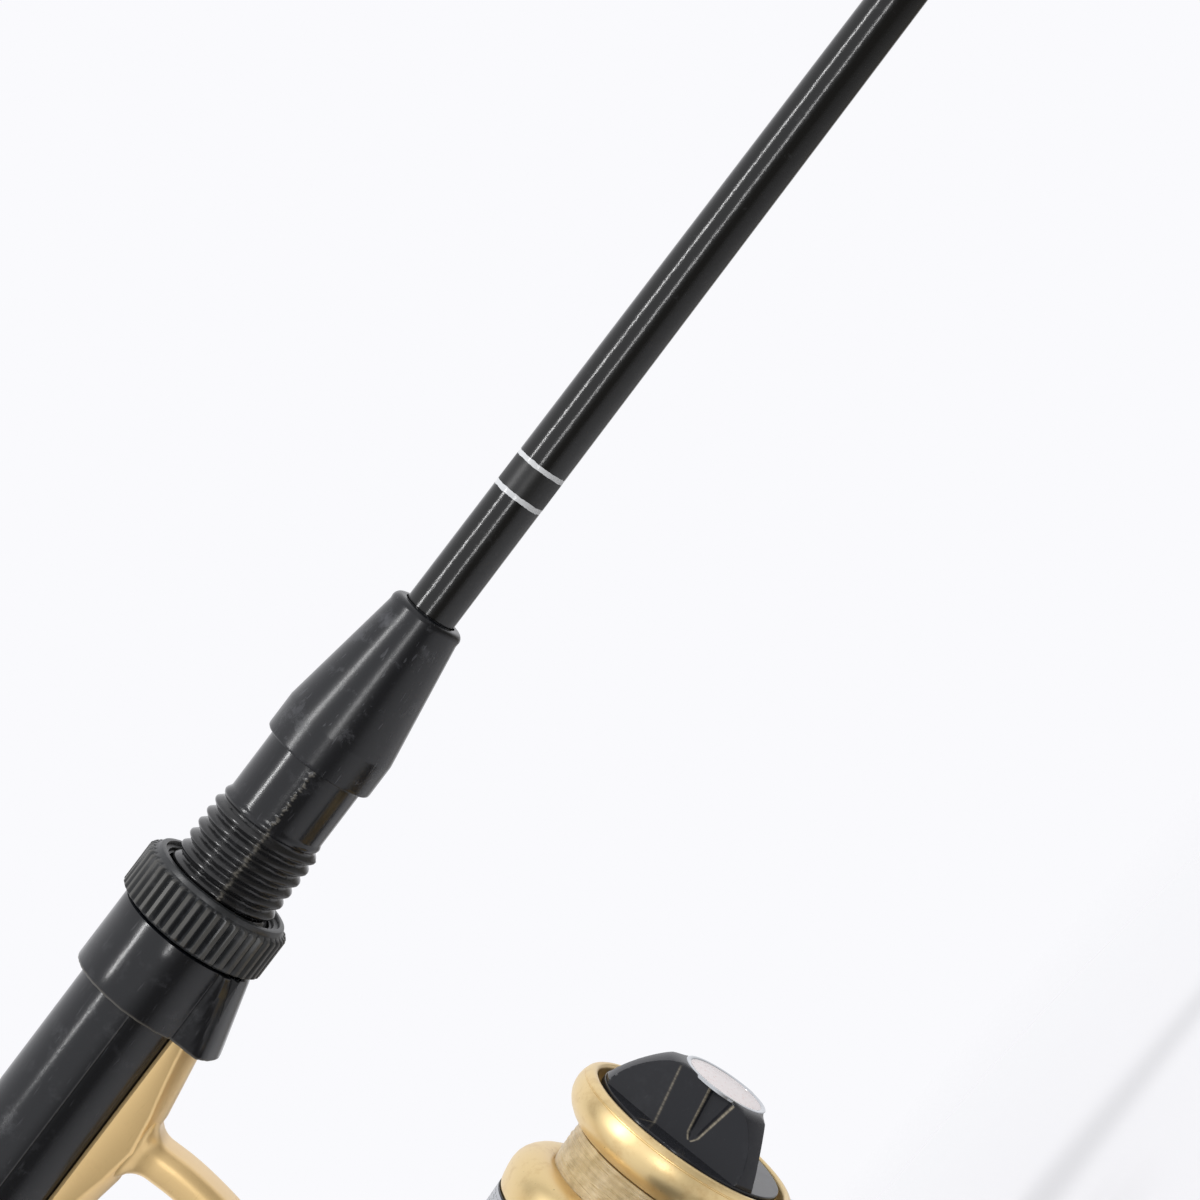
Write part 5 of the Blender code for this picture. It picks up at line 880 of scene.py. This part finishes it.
def strip_light(name, degrees, distance, long, wide, power):
    """A strip along the rod, at an angle up from the camera's direction and a distance from the nut, in
    metres and watts."""
    data = bpy.data.lights.new(name, "AREA")
    data.shape = "RECTANGLE"
    data.size = long
    data.size_y = wide
    data.energy = power
    light = bpy.data.objects.new(name, data)
    bpy.context.scene.collection.objects.link(light)
    turn = math.radians(degrees)
    way = Vector(turned_to_camera[:, 2].tolist()) * math.cos(turn) + Vector((0.0, 0.0, math.sin(turn)))
    way.normalize()
    side = Vector((1.0, 0.0, 0.0))
    side = (side - way * side.dot(way)).normalized()
    turned = Matrix((side, way.cross(side), way)).transposed().to_4x4()
    light.matrix_world = Matrix.Translation(Vector((0.045, 0.0, -0.02)) + way * distance) @ turned


strip_light("upper strip", 60.0, 0.6, 0.5, 0.022, 1.5)
strip_light("front strip", 7.0, 0.9, 0.5, 0.05, 1.3)
world = bpy.data.worlds.new("studio")
bpy.context.scene.world = world
world.use_nodes = True
tree = world.node_tree
sky = add(tree, "TexCoord", output="Generated")
height = add(tree, "SeparateXYZ", {"Vector": sky}, "Z")
upper = add(tree, "MapRange", {"Value": height, "From Min": -0.25, "From Max": 0.25})
walls = {"Factor": upper, "A": linear("#7a766f"), "B": linear("#f3f3f5")}
room = add(tree, "Mix", walls, "Result", data_type="RGBA")
ahead = tuple((-turned_to_camera[:, 2]).tolist())
facing = add(tree, "VectorMath", {0: sky, 1: ahead}, "Value", operation="DOT_PRODUCT")
edge_of_view = {"From Min": math.cos(math.radians(30.0)), "From Max": math.cos(math.radians(15.0))}
backdrop = add(tree, "MapRange", {"Value": facing, **edge_of_view})
forward = add(tree, "MapRange", {"Value": facing, "From Min": 0.1, "From Max": 0.5})
not_low = add(tree, "MapRange", {"Value": height, "From Min": -0.5, "From Max": -0.15})
sweep = add(tree, "Math", {0: forward, 1: not_low}, operation="MULTIPLY")
backdrop = add(tree, "Math", {0: backdrop, 1: sweep}, operation="MAXIMUM")
whole = {"Factor": backdrop, "A": room, "B": linear("#fafafd")}
tree.links.new(add(tree, "Mix", whole, "Result", data_type="RGBA"), tree.nodes["Background"].inputs["Color"])
bpy.context.scene.view_settings.view_transform = "Standard"
